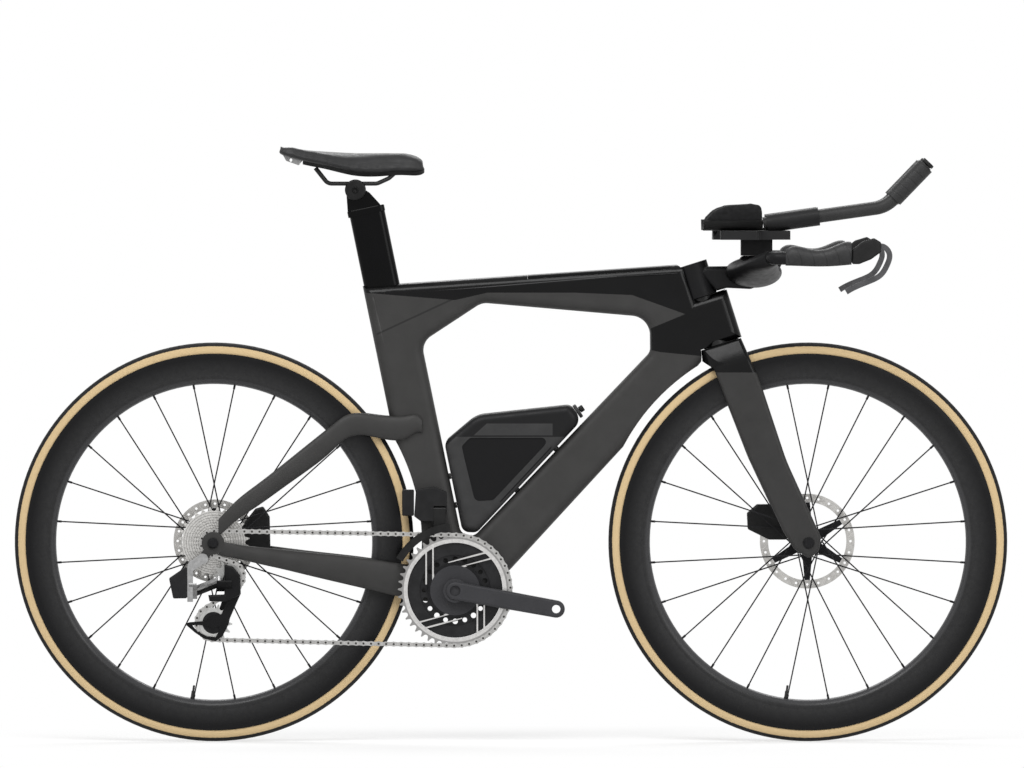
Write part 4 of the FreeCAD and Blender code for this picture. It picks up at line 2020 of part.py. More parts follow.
guide_depth = mm.guide_outer_place - mm.guide_inner_place
cage_plates = []
for low in (mm.guide_inner_place, mm.guide_outer_place):
    cage_plates.append(guide_sector(mm.guide_inner_radius, mm.guide_outer_radius, low,
                                    mm.guide_plate_thickness,
                                    mm.guide_start_angle, mm.guide_sweep_angle))
guide_bridge = mm.guide_outer_radius - mm.mover_round
cage_plates.append(guide_sector(guide_bridge, mm.guide_outer_radius, mm.guide_inner_place, guide_depth,
                                mm.guide_start_angle, mm.guide_join_angle))
cage_plates.append(guide_sector(mm.guide_inner_radius, mm.guide_outer_radius, mm.guide_inner_place,
                                guide_depth,
                                mm.guide_start_angle + mm.guide_sweep_angle - mm.guide_join_angle / 2,
                                mm.guide_join_angle / 2))
barrel = rod(pivot_back, pivot_front, mm.mover_barrel_radius)
arm = bar(pivot_back, pivot_front, up_way, -(mm.mover_pivot_up - mm.guide_inner_radius), 0, Vector(0, 0, 1),
          mm.guide_inner_place - mm.mover_pivot_out - mm.guide_plate_thickness,
          mm.guide_inner_place - mm.mover_pivot_out + mm.guide_plate_thickness)
cage = barrel.fuse(cage_plates + [arm]).cut(rod(pivot_back, pivot_front,
                                                mm.mover_pin_radius + mm.running_gap))
feature("front_derailleur_cage", cage.removeSplitter(), upright())

# Brake calipers: blocks over the discs, shaped to the stay and to the fork leg that carry them
REAR_CALIPER_SHARES = [(0.74, -0.25), (0.7, 0.42), (1.0, 0.8), (1.2, 0.86), (1.36, 0.6), (1.38, -0.3)]
FRONT_CALIPER_SHARES = [(-1.48, 0.3), (-1.5, 0.7), (-1.25, 0.92), (-0.9, 0.92), (-0.5, 0.8), (-0.5, 0.04),
                        (-0.95, 0.04)]


def caliper(axle, shares, place, rotor_radius, seat, shift):
    """A block on the left side with a slot for the disc, fitted to the seat that carries it."""
    block = share_face(shares, mm.caliper_size, -place - mm.caliper_half_width)
    block = block.extrude(Vector(0, 0, mm.caliper_half_width * 2))
    block = block.makeFillet(mm.caliper_round, side_edges(block))
    block.translate(axle)
    slot_low = axle - Vector(0, 0, place + mm.rotor_slot_half_width)
    block = block.cut(Part.makeCylinder(rotor_radius + mm.rotor_slot_margin, mm.rotor_slot_half_width * 2,
                                        slot_low))
    wide_low = axle - Vector(0, 0, place + mm.carrier_slot_half_width)
    wide_radius = rotor_radius - mm.rotor_band + mm.rotor_slot_margin
    block = block.cut(Part.makeCylinder(wide_radius, mm.carrier_slot_half_width * 2, wide_low))
    for way in (shift, Vector(0, 0, mm.seat_gap)):
        moved = seat.copy()
        moved.translate(way)
        block = block.cut(moved)
    return block


rear_caliper = caliper(rear_axle, REAR_CALIPER_SHARES, mm.rear_rotor_place, mm.rear_rotor_radius,
                       other_stays[1], Vector(0, mm.seat_gap, 0))
front_caliper = caliper(front_axle, FRONT_CALIPER_SHARES, mm.front_rotor_place, mm.front_rotor_radius,
                        fork, Vector(-mm.seat_gap, 0, 0))
feature("rear_caliper", rear_caliper, upright())
feature("front_caliper", front_caliper, upright())


document.recompute()
for item in document.Objects:
    if "Invalid" in item.State or "Error" in item.State:
        raise ValueError("not built: " + item.Label)
os.makedirs("parts", exist_ok=True)
for item in subparts:
    if item.Shape.isNull() or not item.Shape.isValid():
        raise ValueError("not a valid shape: " + item.Label)
    item.Shape.exportStep("parts/" + item.Label + ".step")
    print(item.Label, len(item.Shape.Solids), round(item.Shape.Volume))
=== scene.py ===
import json
import math
import bpy
import bmesh
from mathutils import Matrix, Vector

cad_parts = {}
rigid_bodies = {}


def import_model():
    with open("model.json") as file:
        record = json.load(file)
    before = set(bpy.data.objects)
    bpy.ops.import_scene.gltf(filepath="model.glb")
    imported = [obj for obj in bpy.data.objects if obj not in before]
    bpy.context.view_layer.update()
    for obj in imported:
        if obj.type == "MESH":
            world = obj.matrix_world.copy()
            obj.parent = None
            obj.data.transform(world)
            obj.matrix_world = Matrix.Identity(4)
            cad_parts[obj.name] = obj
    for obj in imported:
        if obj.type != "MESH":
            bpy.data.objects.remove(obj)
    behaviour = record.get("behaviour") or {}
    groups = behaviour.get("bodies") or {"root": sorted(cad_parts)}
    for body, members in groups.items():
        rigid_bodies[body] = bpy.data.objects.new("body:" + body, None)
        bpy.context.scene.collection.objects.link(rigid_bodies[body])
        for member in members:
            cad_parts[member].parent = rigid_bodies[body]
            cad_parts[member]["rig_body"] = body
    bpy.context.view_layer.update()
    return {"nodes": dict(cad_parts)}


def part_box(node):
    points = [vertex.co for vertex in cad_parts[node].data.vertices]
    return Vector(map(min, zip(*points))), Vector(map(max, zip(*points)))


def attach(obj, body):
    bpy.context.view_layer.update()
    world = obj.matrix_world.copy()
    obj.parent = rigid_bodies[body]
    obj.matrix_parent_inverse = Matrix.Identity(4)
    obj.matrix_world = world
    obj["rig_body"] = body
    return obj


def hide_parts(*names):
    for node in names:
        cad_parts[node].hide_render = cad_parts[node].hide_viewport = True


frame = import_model()
nodes = frame["nodes"]

# Places in the row frame, in metres
FRONT_AXLE = (0.5, 0.0, 0.336)
REAR_AXLE = (-0.5, 0.0, 0.336)
BRACKET = (-0.0938, 0.0, 0.256)
UPPER_PULLEY = (-0.473, 0.0, 0.28)
LOWER_PULLEY = (-0.49986, 0.0, 0.201995)

# Colours, linear
CHARCOAL = (0.0295, 0.029, 0.0285)
GLOSS_BLACK = (0.0022, 0.0022, 0.0024)
RUBBER = (0.014, 0.014, 0.0145)
TAN = (0.56, 0.42, 0.235)
STEEL = (0.52, 0.51, 0.49)


class Finish:
    """A node material on the object's own coordinates, which keep the row frame and move with the piece."""

    def __init__(self, name, rough=0.4, metallic=0.0, specular=0.5, sheen=0.0):
        self.material = bpy.data.materials.new(name)
        self.material.use_nodes = True
        self.tree = self.material.node_tree
        self.tree.nodes.clear()
        output = self.tree.nodes.new("ShaderNodeOutputMaterial")
        self.shader = self.tree.nodes.new("ShaderNodeBsdfPrincipled")
        self.tree.links.new(self.shader.outputs[0], output.inputs[0])
        self.shader.inputs["Roughness"].default_value = rough
        self.shader.inputs["Metallic"].default_value = metallic
        self.shader.inputs["Specular IOR Level"].default_value = specular
        self.shader.inputs["Sheen Weight"].default_value = sheen
        self.coords = self.tree.nodes.new("ShaderNodeTexCoord").outputs["Object"]
        self.normal = None

    def put(self, value, socket):
        if isinstance(value, bpy.types.NodeSocket):
            self.tree.links.new(value, socket)
        elif value is not None:
            socket.default_value = value

    def math(self, operation, first, second=None, third=None):
        node = self.tree.nodes.new("ShaderNodeMath")
        node.operation = operation
        for value, socket in zip((first, second, third), node.inputs):
            self.put(value, socket)
        return node.outputs[0]

    def axes(self, centre=(0.0, 0.0, 0.0)):
        place = self.tree.nodes.new("ShaderNodeVectorMath")
        place.operation = "SUBTRACT"
        self.put(self.coords, place.inputs[0])
        place.inputs[1].default_value = centre
        split = self.tree.nodes.new("ShaderNodeSeparateXYZ")
        self.put(place.outputs[0], split.inputs[0])
        return split.outputs[0], split.outputs[1], split.outputs[2]

    def radius(self, centre):
        along, across, up = self.axes(centre)
        square = self.math("ADD", self.math("MULTIPLY", along, along), self.math("MULTIPLY", up, up))
        return self.math("SQRT", square)

    def stretched(self, scale):
        node = self.tree.nodes.new("ShaderNodeMapping")
        self.put(self.coords, node.inputs["Vector"])
        node.inputs["Scale"].default_value = scale
        return node.outputs[0]

    def noise(self, scale, detail=3.0, vector=None, roughness=0.55):
        node = self.tree.nodes.new("ShaderNodeTexNoise")
        self.put(vector or self.coords, node.inputs["Vector"])
        node.inputs["Scale"].default_value = scale
        node.inputs["Detail"].default_value = detail
        node.inputs["Roughness"].default_value = roughness
        return node.outputs["Fac"]

    def cells(self, scale, vector=None):
        node = self.tree.nodes.new("ShaderNodeTexVoronoi")
        self.put(vector or self.coords, node.inputs["Vector"])
        node.inputs["Scale"].default_value = scale
        return node.outputs["Distance"]

    def spread(self, value, low, high, start=0.3, end=0.7):
        node = self.tree.nodes.new("ShaderNodeMapRange")
        self.put(value, node.inputs["Value"])
        node.inputs["From Min"].default_value = start
        node.inputs["From Max"].default_value = end
        node.inputs["To Min"].default_value = low
        node.inputs["To Max"].default_value = high
        return node.outputs["Result"]

    def step(self, value, edge, soft=0.0004):
        return self.spread(value, 0.0, 1.0, edge - soft, edge + soft)

    def between(self, value, low, high, soft=0.0004):
        above = self.step(value, low, soft)
        below = self.math("SUBTRACT", 1.0, self.step(value, high, soft))
        return self.math("MULTIPLY", above, below)

    def mix(self, share, first, second):
        node = self.tree.nodes.new("ShaderNodeMix")
        node.data_type = "RGBA"
        self.put(share, node.inputs[0])
        for value, socket in ((first, node.inputs[6]), (second, node.inputs[7])):
            self.put(value if isinstance(value, bpy.types.NodeSocket) else (*value, 1.0), socket)
        return node.outputs[2]

    def line(self, value, points, low, high):
        """Height of a bent line over value, between the lowest and highest heights given."""
        first = points[0][0]
        last = points[-1][0]
        share = self.spread(value, 0.0, 1.0, first, last)
        node = self.tree.nodes.new("ShaderNodeValToRGB")
        ramp = node.color_ramp
        while len(ramp.elements) < len(points):
            ramp.elements.new(0.5)
        for element, (place, height) in zip(ramp.elements, points):
            element.position = (place - first) / (last - first)
            level = (height - low) / (high - low)
            element.color = (level, level, level, 1.0)
        self.put(share, node.inputs[0])
        return self.spread(node.outputs[0], low, high, 0.0, 1.0)

    def mottled(self, colour, change=0.14, scale=22.0, vector=None):
        dark = tuple(value * (1.0 - change) for value in colour)
        light = tuple(value * (1.0 + change) for value in colour)
        return self.mix(self.spread(self.noise(scale, 4.0, vector), 0.0, 1.0), dark, light)

    def colour(self, value):
        self.put(value, self.shader.inputs["Base Color"])
        return self

    def rough(self, low, high, scale=60.0, vector=None):
        self.put(self.spread(self.noise(scale, 4.0, vector), low, high), self.shader.inputs["Roughness"])
        return self

    def metal(self, value):
        self.put(value, self.shader.inputs["Metallic"])
        return self

    def bump(self, height, depth, strength=0.6):
        node = self.tree.nodes.new("ShaderNodeBump")
        node.inputs["Strength"].default_value = strength
        node.inputs["Distance"].default_value = depth
        self.put(height, node.inputs["Height"])
        if self.normal is not None:
            self.put(self.normal, node.inputs["Normal"])
        self.normal = node.outputs[0]
        self.put(self.normal, self.shader.inputs["Normal"])
        return self


def paint_satin(name, colour=CHARCOAL):
    finish = Finish(name, rough=0.46, specular=0.16)
    finish.colour(finish.mottled(colour, 0.1, 30.0))
    finish.rough(0.4, 0.52, 90.0)
    finish.bump(finish.noise(2200.0, 2.0), 0.00006, 0.35)
    return finish


def gloss(name, colour=GLOSS_BLACK):
    finish = Finish(name, rough=0.2, specular=0.08)
    finish.colour(finish.mottled(colour, 0.25, 18.0))
    finish.rough(0.14, 0.24, 40.0)
    finish.bump(finish.noise(500.0, 2.0), 0.00004, 0.25)
    return finish


def plastic(name, colour=(0.011, 0.011, 0.012), low=0.38, high=0.55):
    finish = Finish(name, specular=0.14)
    finish.colour(finish.mottled(colour, 0.2, 60.0))
    finish.rough(low, high, 160.0)
    finish.bump(finish.cells(1600.0), 0.00012, 0.4)
    return finish


def anodised(name, colour=(0.02, 0.02, 0.022), centre=None, low=0.28, high=0.42):
    finish = Finish(name, metallic=0.4, specular=0.16)
    finish.colour(finish.mottled(colour, 0.2, 80.0))
    finish.rough(low, high, 220.0)
    if centre:
        rings = finish.math("SINE", finish.math("MULTIPLY", finish.radius(centre), 9000.0))
        finish.bump(rings, 0.00003, 0.3)
    finish.bump(finish.noise(1500.0, 2.0), 0.00005, 0.3)
    return finish


def bright_metal(name, colour=STEEL, centre=None, low=0.24, high=0.4, turns=7000.0):
    finish = Finish(name, metallic=1.0, specular=0.5)
    tone = finish.mottled(colour, 0.16, 150.0)
    if centre:
        rings = finish.math("SINE", finish.math("MULTIPLY", finish.radius(centre), turns))
        tone = finish.mix(finish.spread(rings, 0.0, 0.35, -1.0, 1.0), tone,
                          tuple(value * 0.6 for value in colour))
        finish.bump(rings, 0.00004, 0.3)
    finish.colour(tone)
    finish.rough(low, high, 300.0)
    finish.bump(finish.noise(1800.0, 3.0), 0.00005, 0.35)
    return finish


def dress(finish, *names):
    for name in names:
        mesh = nodes[name].data
        mesh.materials.clear()
        mesh.materials.append(finish.material)
        for polygon in mesh.polygons:
            polygon.material_index = 0


# Tyres: tan side walls, black tread, a faint thread pattern
def tyre(name, centre):
    finish = Finish(name, rough=0.7, specular=0.12)
    radius = finish.radius(centre)
    threads = finish.noise(900.0, 2.0, finish.stretched((1.0, 3.0, 1.0)))
    dull = tuple(c * 0.92 for c in TAN)
    pale = tuple(c * 1.05 for c in TAN)
    wall = finish.mix(finish.spread(threads, 0.0, 1.0), dull, pale)
    wall = finish.mix(finish.between(radius, 0.3125, 0.3162, 0.0006), wall, (0.2, 0.14, 0.075))
    tread = finish.mottled(RUBBER, 0.3, 120.0)
    edge = finish.math("ADD", radius, finish.spread(finish.noise(260.0), -0.0003, 0.0003))
    finish.colour(finish.mix(finish.step(edge, 0.3296, 0.0004), wall, tread))
    finish.rough(0.55, 0.78, 200.0)
    finish.bump(threads, 0.0001, 0.5)
    return finish


dress(tyre("tyre_front", FRONT_AXLE), "front_tyre")
dress(tyre("tyre_rear", REAR_AXLE), "rear_tyre")


# Deep carbon rims: dark gloss with a faint fibre grain; painted reflection shading makes them darker beside
# the tyre, and a painted highlight makes them paler along the spokes
def rim(name, centre):
    finish = Finish(name, rough=0.25, specular=0.16)
    radius = finish.radius(centre)
    fibre = finish.noise(160.0, 3.0, finish.stretched((1.0, 0.2, 1.0)))
    base = finish.mix(finish.spread(fibre, 0.0, 1.0), (0.017, 0.017, 0.0175), (0.023, 0.023, 0.0235))
    # painted reflection: darker towards the tyre, standing in for the gloss shading of the rim's curved side
    base = finish.mix(finish.spread(radius, 0.0, 1.0, 0.284, 0.309), base, (0.004, 0.004, 0.0045))
    # painted highlight: a paler ring along the inner edge by the spokes
    finish.colour(finish.mix(finish.step(radius, 0.2735, 0.0025), (0.05, 0.05, 0.052), base))
    finish.rough(0.2, 0.34, 30.0)
    finish.bump(fibre, 0.00005, 0.25)
    return finish


dress(rim("rim_front", FRONT_AXLE), "front_rim")
dress(rim("rim_rear", REAR_AXLE), "rear_rim")
dress(anodised("spoke_black", (0.012, 0.012, 0.013), None, 0.32, 0.46), "front_spokes", "rear_spokes")
dress(anodised("hub_front", (0.012, 0.012, 0.013), FRONT_AXLE), "front_hub", "front_axle")
dress(anodised("hub_rear", (0.012, 0.012, 0.013), REAR_AXLE), "rear_hub", "rear_axle")
dress(bright_metal("rotor_front", STEEL, FRONT_AXLE, 0.22, 0.36), "front_rotor")
dress(bright_metal("rotor_rear", STEEL, REAR_AXLE, 0.22, 0.36), "rear_rotor")
dress(anodised("carrier_front", (0.01, 0.01, 0.011), FRONT_AXLE), "front_rotor_carrier")
dress(anodised("carrier_rear", (0.01, 0.01, 0.011), REAR_AXLE), "rear_rotor_carrier")
dress(anodised("caliper_black", (0.012, 0.012, 0.012), None, 0.35, 0.5), "front_caliper", "rear_caliper")

# Drive: bright chain and sprockets, dark panels with bright stripes on the outer ring
dress(bright_metal("chain_steel", (0.44, 0.435, 0.425), None, 0.24, 0.4), "chain")


def cassette():
    finish = Finish("cassette_steel", metallic=1.0)
    radius = finish.radius(REAR_AXLE)
    # painted shade: each ring is darkened at its inner side, standing in for the shade in the gaps between
    # the sprockets
    step = finish.math("FRACT", finish.math("DIVIDE", finish.math("SUBTRACT", radius, 0.0204), 0.0042))
    painted_gap_shade = finish.spread(step, 1.0, 0.0, 0.0, 0.32)
    tone = finish.mottled((0.6, 0.59, 0.57), 0.12, 260.0)
    finish.colour(finish.mix(finish.math("MULTIPLY", painted_gap_shade, 0.8), tone, (0.1, 0.1, 0.1)))
    finish.rough(0.26, 0.4, 300.0)
    finish.bump(finish.math("SINE", finish.math("MULTIPLY", radius, 9000.0)), 0.00004, 0.3)
    return finish


dress(cassette(), "cassette")


def chainring():
    finish = Finish("chainring_outer", specular=0.16)
    radius = finish.radius(BRACKET)
    along, across, up = finish.axes(BRACKET)
    side = finish.math("SIGN", up)
    upright = finish.math("MULTIPLY", along, side)
    reach = finish.math("ABSOLUTE", up)
    stripe = finish.math("MULTIPLY", finish.math("ADD", finish.between(upright, -0.0500, -0.0470, 0.0003),
                                                 finish.between(upright, -0.0385, -0.0355, 0.0003)),
                         finish.step(reach, 0.01, 0.0005))
    lean = finish.math("ADD", finish.math("MULTIPLY", along, -0.271), finish.math("MULTIPLY", up, 0.9627))
    way = finish.math("ADD", finish.math("MULTIPLY", along, 0.9627), finish.math("MULTIPLY", up, 0.271))
    lean_side = finish.math("SIGN", lean)
    lean_reach = finish.math("MULTIPLY", way, lean_side)
    leaning = finish.math("ABSOLUTE", lean)
    slant = finish.math("MULTIPLY", finish.math("ADD", finish.between(leaning, 0.0460, 0.0490, 0.0003),
                                                finish.between(leaning, 0.0335, 0.0365, 0.0003)),
                        finish.step(lean_reach, -0.01, 0.0005))
    band = finish.step(radius, 0.0785, 0.0003)
    bright = finish.math("MINIMUM", finish.math("ADD", finish.math("ADD", stripe, slant), band), 1.0)
    panel = finish.mottled((0.012, 0.012, 0.013), 0.2, 90.0)
    polish = finish.mix(finish.step(radius, 0.0865, 0.0004), finish.mottled((0.6, 0.59, 0.58), 0.12, 200.0),
                        (0.3, 0.295, 0.29))
    finish.colour(finish.mix(bright, panel, polish))
    finish.metal(finish.spread(bright, 0.35, 1.0, 0.0, 1.0))
    finish.rough(0.26, 0.4, 240.0)
    finish.bump(finish.math("SINE", finish.math("MULTIPLY", radius, 6000.0)), 0.00004, 0.25)
    return finish


dress(chainring(), "chainring_outer")
dress(anodised("chainring_inner", (0.02, 0.02, 0.021), BRACKET), "chainring_inner")
dress(paint_satin("crank_satin", (0.034, 0.034, 0.037)), "crank_arm_right", "crank_arm_left")
dress(anodised("bearing_dark", (0.02, 0.02, 0.02), BRACKET), "bottom_bracket_bearings")
dress(anodised("headset_dark", (0.02, 0.02, 0.02)), "headset_bearings")
dress(bright_metal("outer_link_silver", (0.5, 0.5, 0.5), None, 0.28, 0.4), "derailleur_outer_link")
dress(anodised("derailleur_black", (0.009, 0.009, 0.0095), None, 0.3, 0.45), "derailleur_inner_link",
      "derailleur_knuckle")
dress(bright_metal("derailleur_arm", (0.36, 0.36, 0.36), None, 0.26, 0.4), "derailleur_body")
dress(plastic("battery_case", (0.012, 0.012, 0.013)), "derailleur_battery")
dress(gloss("cage_carbon", (0.008, 0.008, 0.0085)), "derailleur_cage")
dress(bright_metal("guide_pulley_metal", (0.42, 0.42, 0.41), UPPER_PULLEY, 0.3, 0.45), "guide_pulley")


def tension_pulley():
    finish = Finish("tension_pulley", specular=0.16)
    radius = finish.radius(LOWER_PULLEY)
    rim_share = finish.step(radius, 0.0185, 0.0003)
    dark = finish.mottled((0.01, 0.01, 0.011), 0.2, 120.0)
    light = finish.mottled((0.5, 0.5, 0.49), 0.14, 200.0)
    finish.colour(finish.mix(rim_share, dark, light))
    finish.metal(finish.spread(rim_share, 0.2, 1.0, 0.0, 1.0))
    finish.rough(0.28, 0.42, 240.0)
    finish.bump(finish.noise(1500.0), 0.00005, 0.3)
    return finish


dress(tension_pulley(), "tension_pulley")
dress(plastic("front_mech_case", (0.012, 0.012, 0.0125)), "front_derailleur")
dress(anodised("front_cage_dark", (0.016, 0.016, 0.016)), "front_derailleur_cage")


# Frame and fork: satin charcoal below a bent line, gloss black above it
TOP_LINE = [(-0.248, 0.756), (-0.0943, 0.7435), (-0.0396, 0.756), (0.1078, 0.756), (0.2038, 0.752),
            (0.293, 0.72), (0.34, 0.70)]
HEAD_HIGH = [(0.232, 0.6946), (0.293, 0.72), (0.34, 0.74)]
HEAD_LOW = [(0.232, 0.66), (0.251, 0.656), (0.34, 0.6475)]
# where the painted shade of the frame's crease runs
CREASE_SHADE_LINE = [(-0.229, 0.6845), (-0.091, 0.7485)]


def lacquer(finish, black):
    """Satin where the paint is charcoal, gloss where it is black."""
    base = finish.spread(finish.noise(90.0, 4.0), 0.4, 0.52)
    shine = finish.spread(finish.noise(40.0, 3.0), 0.14, 0.24)
    gap = finish.math("SUBTRACT", shine, base)
    rough = finish.math("ADD", base, finish.math("MULTIPLY", gap, black))
    finish.put(rough, finish.shader.inputs["Roughness"])
    finish.bump(finish.noise(2200.0, 2.0), 0.00005, 0.3)
    return finish


def frame_paint():
    finish = Finish("frame_paint", specular=0.16)
    along, across, up = finish.axes()
    wobble = finish.spread(finish.noise(700.0, 2.0), -0.00015, 0.00015)
    height = finish.math("ADD", up, wobble)
    above = finish.step(finish.math("SUBTRACT", height, finish.line(along, TOP_LINE, 0.6, 0.8)), 0.0, 0.0005)
    under = finish.step(finish.math("SUBTRACT", finish.line(along, HEAD_HIGH, 0.6, 0.8), height), 0.0, 0.0005)
    over = finish.step(finish.math("SUBTRACT", height, finish.line(along, HEAD_LOW, 0.6, 0.8)), 0.0, 0.0005)
    head = finish.math("MULTIPLY", finish.math("MULTIPLY", under, over), finish.step(along, 0.232, 0.0006))
    black = finish.math("MAXIMUM", above, head)
    satin = finish.mottled(CHARCOAL, 0.1, 30.0)
    flake = finish.spread(finish.cells(2600.0), 0.0, 1.0, 0.05, 0.3)
    satin = finish.mix(finish.math("MULTIPLY", flake, 0.12), satin, (0.075, 0.074, 0.072))
    dark = finish.mottled(GLOSS_BLACK, 0.25, 18.0)
    # painted shade: a dark line along the frame's crease near the seat tube
    painted_crease_shade = finish.math("SUBTRACT", height, finish.line(along, CREASE_SHADE_LINE, 0.6, 0.8))
    painted_crease_shade = finish.math("MULTIPLY", finish.between(painted_crease_shade, -0.0016, 0.0016, 0.0008),
                         finish.between(along, -0.226, -0.092, 0.002))
    satin = finish.mix(finish.math("MULTIPLY", painted_crease_shade, 0.75), satin, (0.012, 0.012, 0.012))
    finish.colour(finish.mix(black, satin, dark))
    return lacquer(finish, black)


def fork_paint():
    finish = Finish("fork_paint", specular=0.16)
    along, across, up = finish.axes()
    height = finish.math("ADD", up, finish.spread(finish.noise(700.0, 2.0), -0.00015, 0.00015))
    black = finish.step(height, 0.622, 0.0006)
    satin = finish.mottled(CHARCOAL, 0.1, 30.0)
    dark = finish.mottled(GLOSS_BLACK, 0.25, 18.0)
    finish.colour(finish.mix(black, satin, dark))
    return lacquer(finish, black)


dress(frame_paint(), "frame")
dress(fork_paint(), "fork")
dress(gloss("lid_gloss"), "top_tube_lid")
dress(gloss("post_gloss"), "seatpost")
dress(anodised("wedge_dark", (0.014, 0.014, 0.014)), "seat_wedge")
dress(paint_satin("bar_black", (0.0045, 0.0045, 0.005)), "base_bar")
dress(paint_satin("riser_satin", (0.012, 0.012, 0.0125)), "arm_rest_riser")
dress(paint_satin("extension_satin", (0.03, 0.03, 0.03)), "extensions")
dress(plastic("cup_plastic", (0.012, 0.012, 0.012)), "arm_cups")
dress(anodised("bolt_black", (0.02, 0.02, 0.02)), "bridge_bolts")
dress(plastic("hood_rubber", (0.012, 0.012, 0.012), 0.5, 0.66), "brake_hoods")
dress(anodised("lever_grey", (0.075, 0.075, 0.078), None, 0.26, 0.4), "brake_lever_right", "brake_lever_left")
dress(plastic("button_rubber", (0.014, 0.014, 0.014), 0.45, 0.6), "shift_button_right", "shift_button_left")
dress(anodised("clamp_black", (0.014, 0.014, 0.014)), "saddle_clamp")
dress(anodised("rail_dark", (0.02, 0.02, 0.02), None, 0.26, 0.38), "saddle_rails")
dress(plastic("shell_plastic", (0.01, 0.01, 0.01)), "saddle_shell")
dress(bright_metal("tail_silver", (0.3, 0.3, 0.3), None, 0.28, 0.42), "saddle_tail_mount")


# Bottle: charcoal body, dark side panel, and a dark band above it with a paler window
PANEL_TOP = 0.5135


def bottle_paint():
    finish = Finish("bottle_plastic", specular=0.15)
    along, across, up = finish.axes()
    body = finish.mottled((0.034, 0.034, 0.0345), 0.12, 40.0)
    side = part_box("bottle")[1].y
    inset = finish.between(finish.math("ABSOLUTE", across), side - 0.0024, side - 0.0012, 0.0002)
    flat = finish.math("MULTIPLY", inset, finish.between(along, -0.085, 0.068, 0.0005))
    panel = finish.math("MULTIPLY", flat, finish.between(up, 0.404, PANEL_TOP, 0.0004))
    body = finish.mix(panel, body, (0.004, 0.004, 0.0045))
    edge = finish.line(along, [(-0.12, 0.49), (-0.06, 0.541), (0.1, 0.558), (0.13, 0.545)], 0.45, 0.6)
    strip = finish.step(finish.math("SUBTRACT", up, edge), 0.0, 0.0005)
    rise = finish.math("MULTIPLY", finish.math("SUBTRACT", up, 0.515), 1.1)
    back = finish.step(finish.math("SUBTRACT", along, rise), -0.064, 0.0006)
    front = finish.math("SUBTRACT", 1.0, finish.step(along, 0.07, 0.0006))
    ends = finish.math("MULTIPLY", back, front)
    window = finish.math("MULTIPLY", ends, finish.between(up, 0.516, 0.536, 0.0006))
    band = finish.math("SUBTRACT", finish.step(up, PANEL_TOP, 0.0005), window)
    dark = finish.math("MAXIMUM", strip, band)
    finish.colour(finish.mix(dark, body, (0.008, 0.008, 0.0085)))
    finish.rough(0.36, 0.5, 90.0)
    finish.bump(finish.cells(1400.0), 0.0001, 0.35)
    return finish


dress(bottle_paint(), "bottle")
dress(plastic("bottle_cap_plastic", (0.035, 0.035, 0.036)), "bottle_cap")
dress(plastic("bottle_valve_plastic", (0.014, 0.014, 0.014), 0.35, 0.5), "bottle_valve")


# Wrapped tape on the grips
def tape(name, way, pitch=0.021, colour=(0.019, 0.019, 0.0195)):
    finish = Finish(name, rough=0.5, specular=0.3)
    along, across, up = finish.axes()
    run = finish.math("MULTIPLY", along, way[0])
    run = finish.math("ADD", run, finish.math("MULTIPLY", across, way[1]))
    run = finish.math("ADD", run, finish.math("MULTIPLY", up, way[2]))
    turn = finish.math("FRACT", finish.math("DIVIDE", run, pitch))
    lap = finish.spread(turn, 0.0, 1.0, 0.0, 0.9)
    edge = finish.between(turn, 0.0, 0.06, 0.02)
    holes = finish.cells(520.0)
    base = finish.mottled(colour, 0.2, 120.0)
    finish.colour(finish.mix(finish.math("MULTIPLY", edge, 0.8), base, (0.004, 0.004, 0.004)))
    finish.rough(0.42, 0.58, 300.0)
    finish.bump(holes, 0.0003, 0.5)
    finish.bump(lap, 0.0012, 0.9)
    return finish


dress(tape("bar_tape", (1.0, 0.35, 0.35)), "bar_grips")
dress(tape("extension_tape", (0.75, 0.35, 0.9), 0.019), "extension_grips")


# Padded pieces
def leather(name, colour=(0.014, 0.014, 0.0145)):
    finish = Finish(name, specular=0.3, sheen=0.02)
    finish.colour(finish.mottled(colour, 0.25, 60.0))
    finish.rough(0.42, 0.56, 140.0)
    finish.bump(finish.cells(900.0), 0.00025, 0.5)
    finish.bump(finish.noise(45.0, 3.0), 0.0006, 0.3)
    return finish


def foam_cloth(name, colour=(0.012, 0.012, 0.0125)):
    finish = Finish(name, specular=0.1, sheen=0.05)
    finish.colour(finish.mottled(colour, 0.3, 150.0))
    finish.rough(0.68, 0.85, 120.0)
    finish.bump(finish.cells(1100.0), 0.0003, 0.6)
    finish.bump(finish.noise(90.0, 3.0), 0.0006, 0.35)
    return finish


CUSHION_VOXEL = 0.004
# points that face down more than this rest on what carries the cushion, and sit a little way into it
REST_SLOPE = -0.2
REST_DEPTH = 0.0014
LAST_STEP = 20


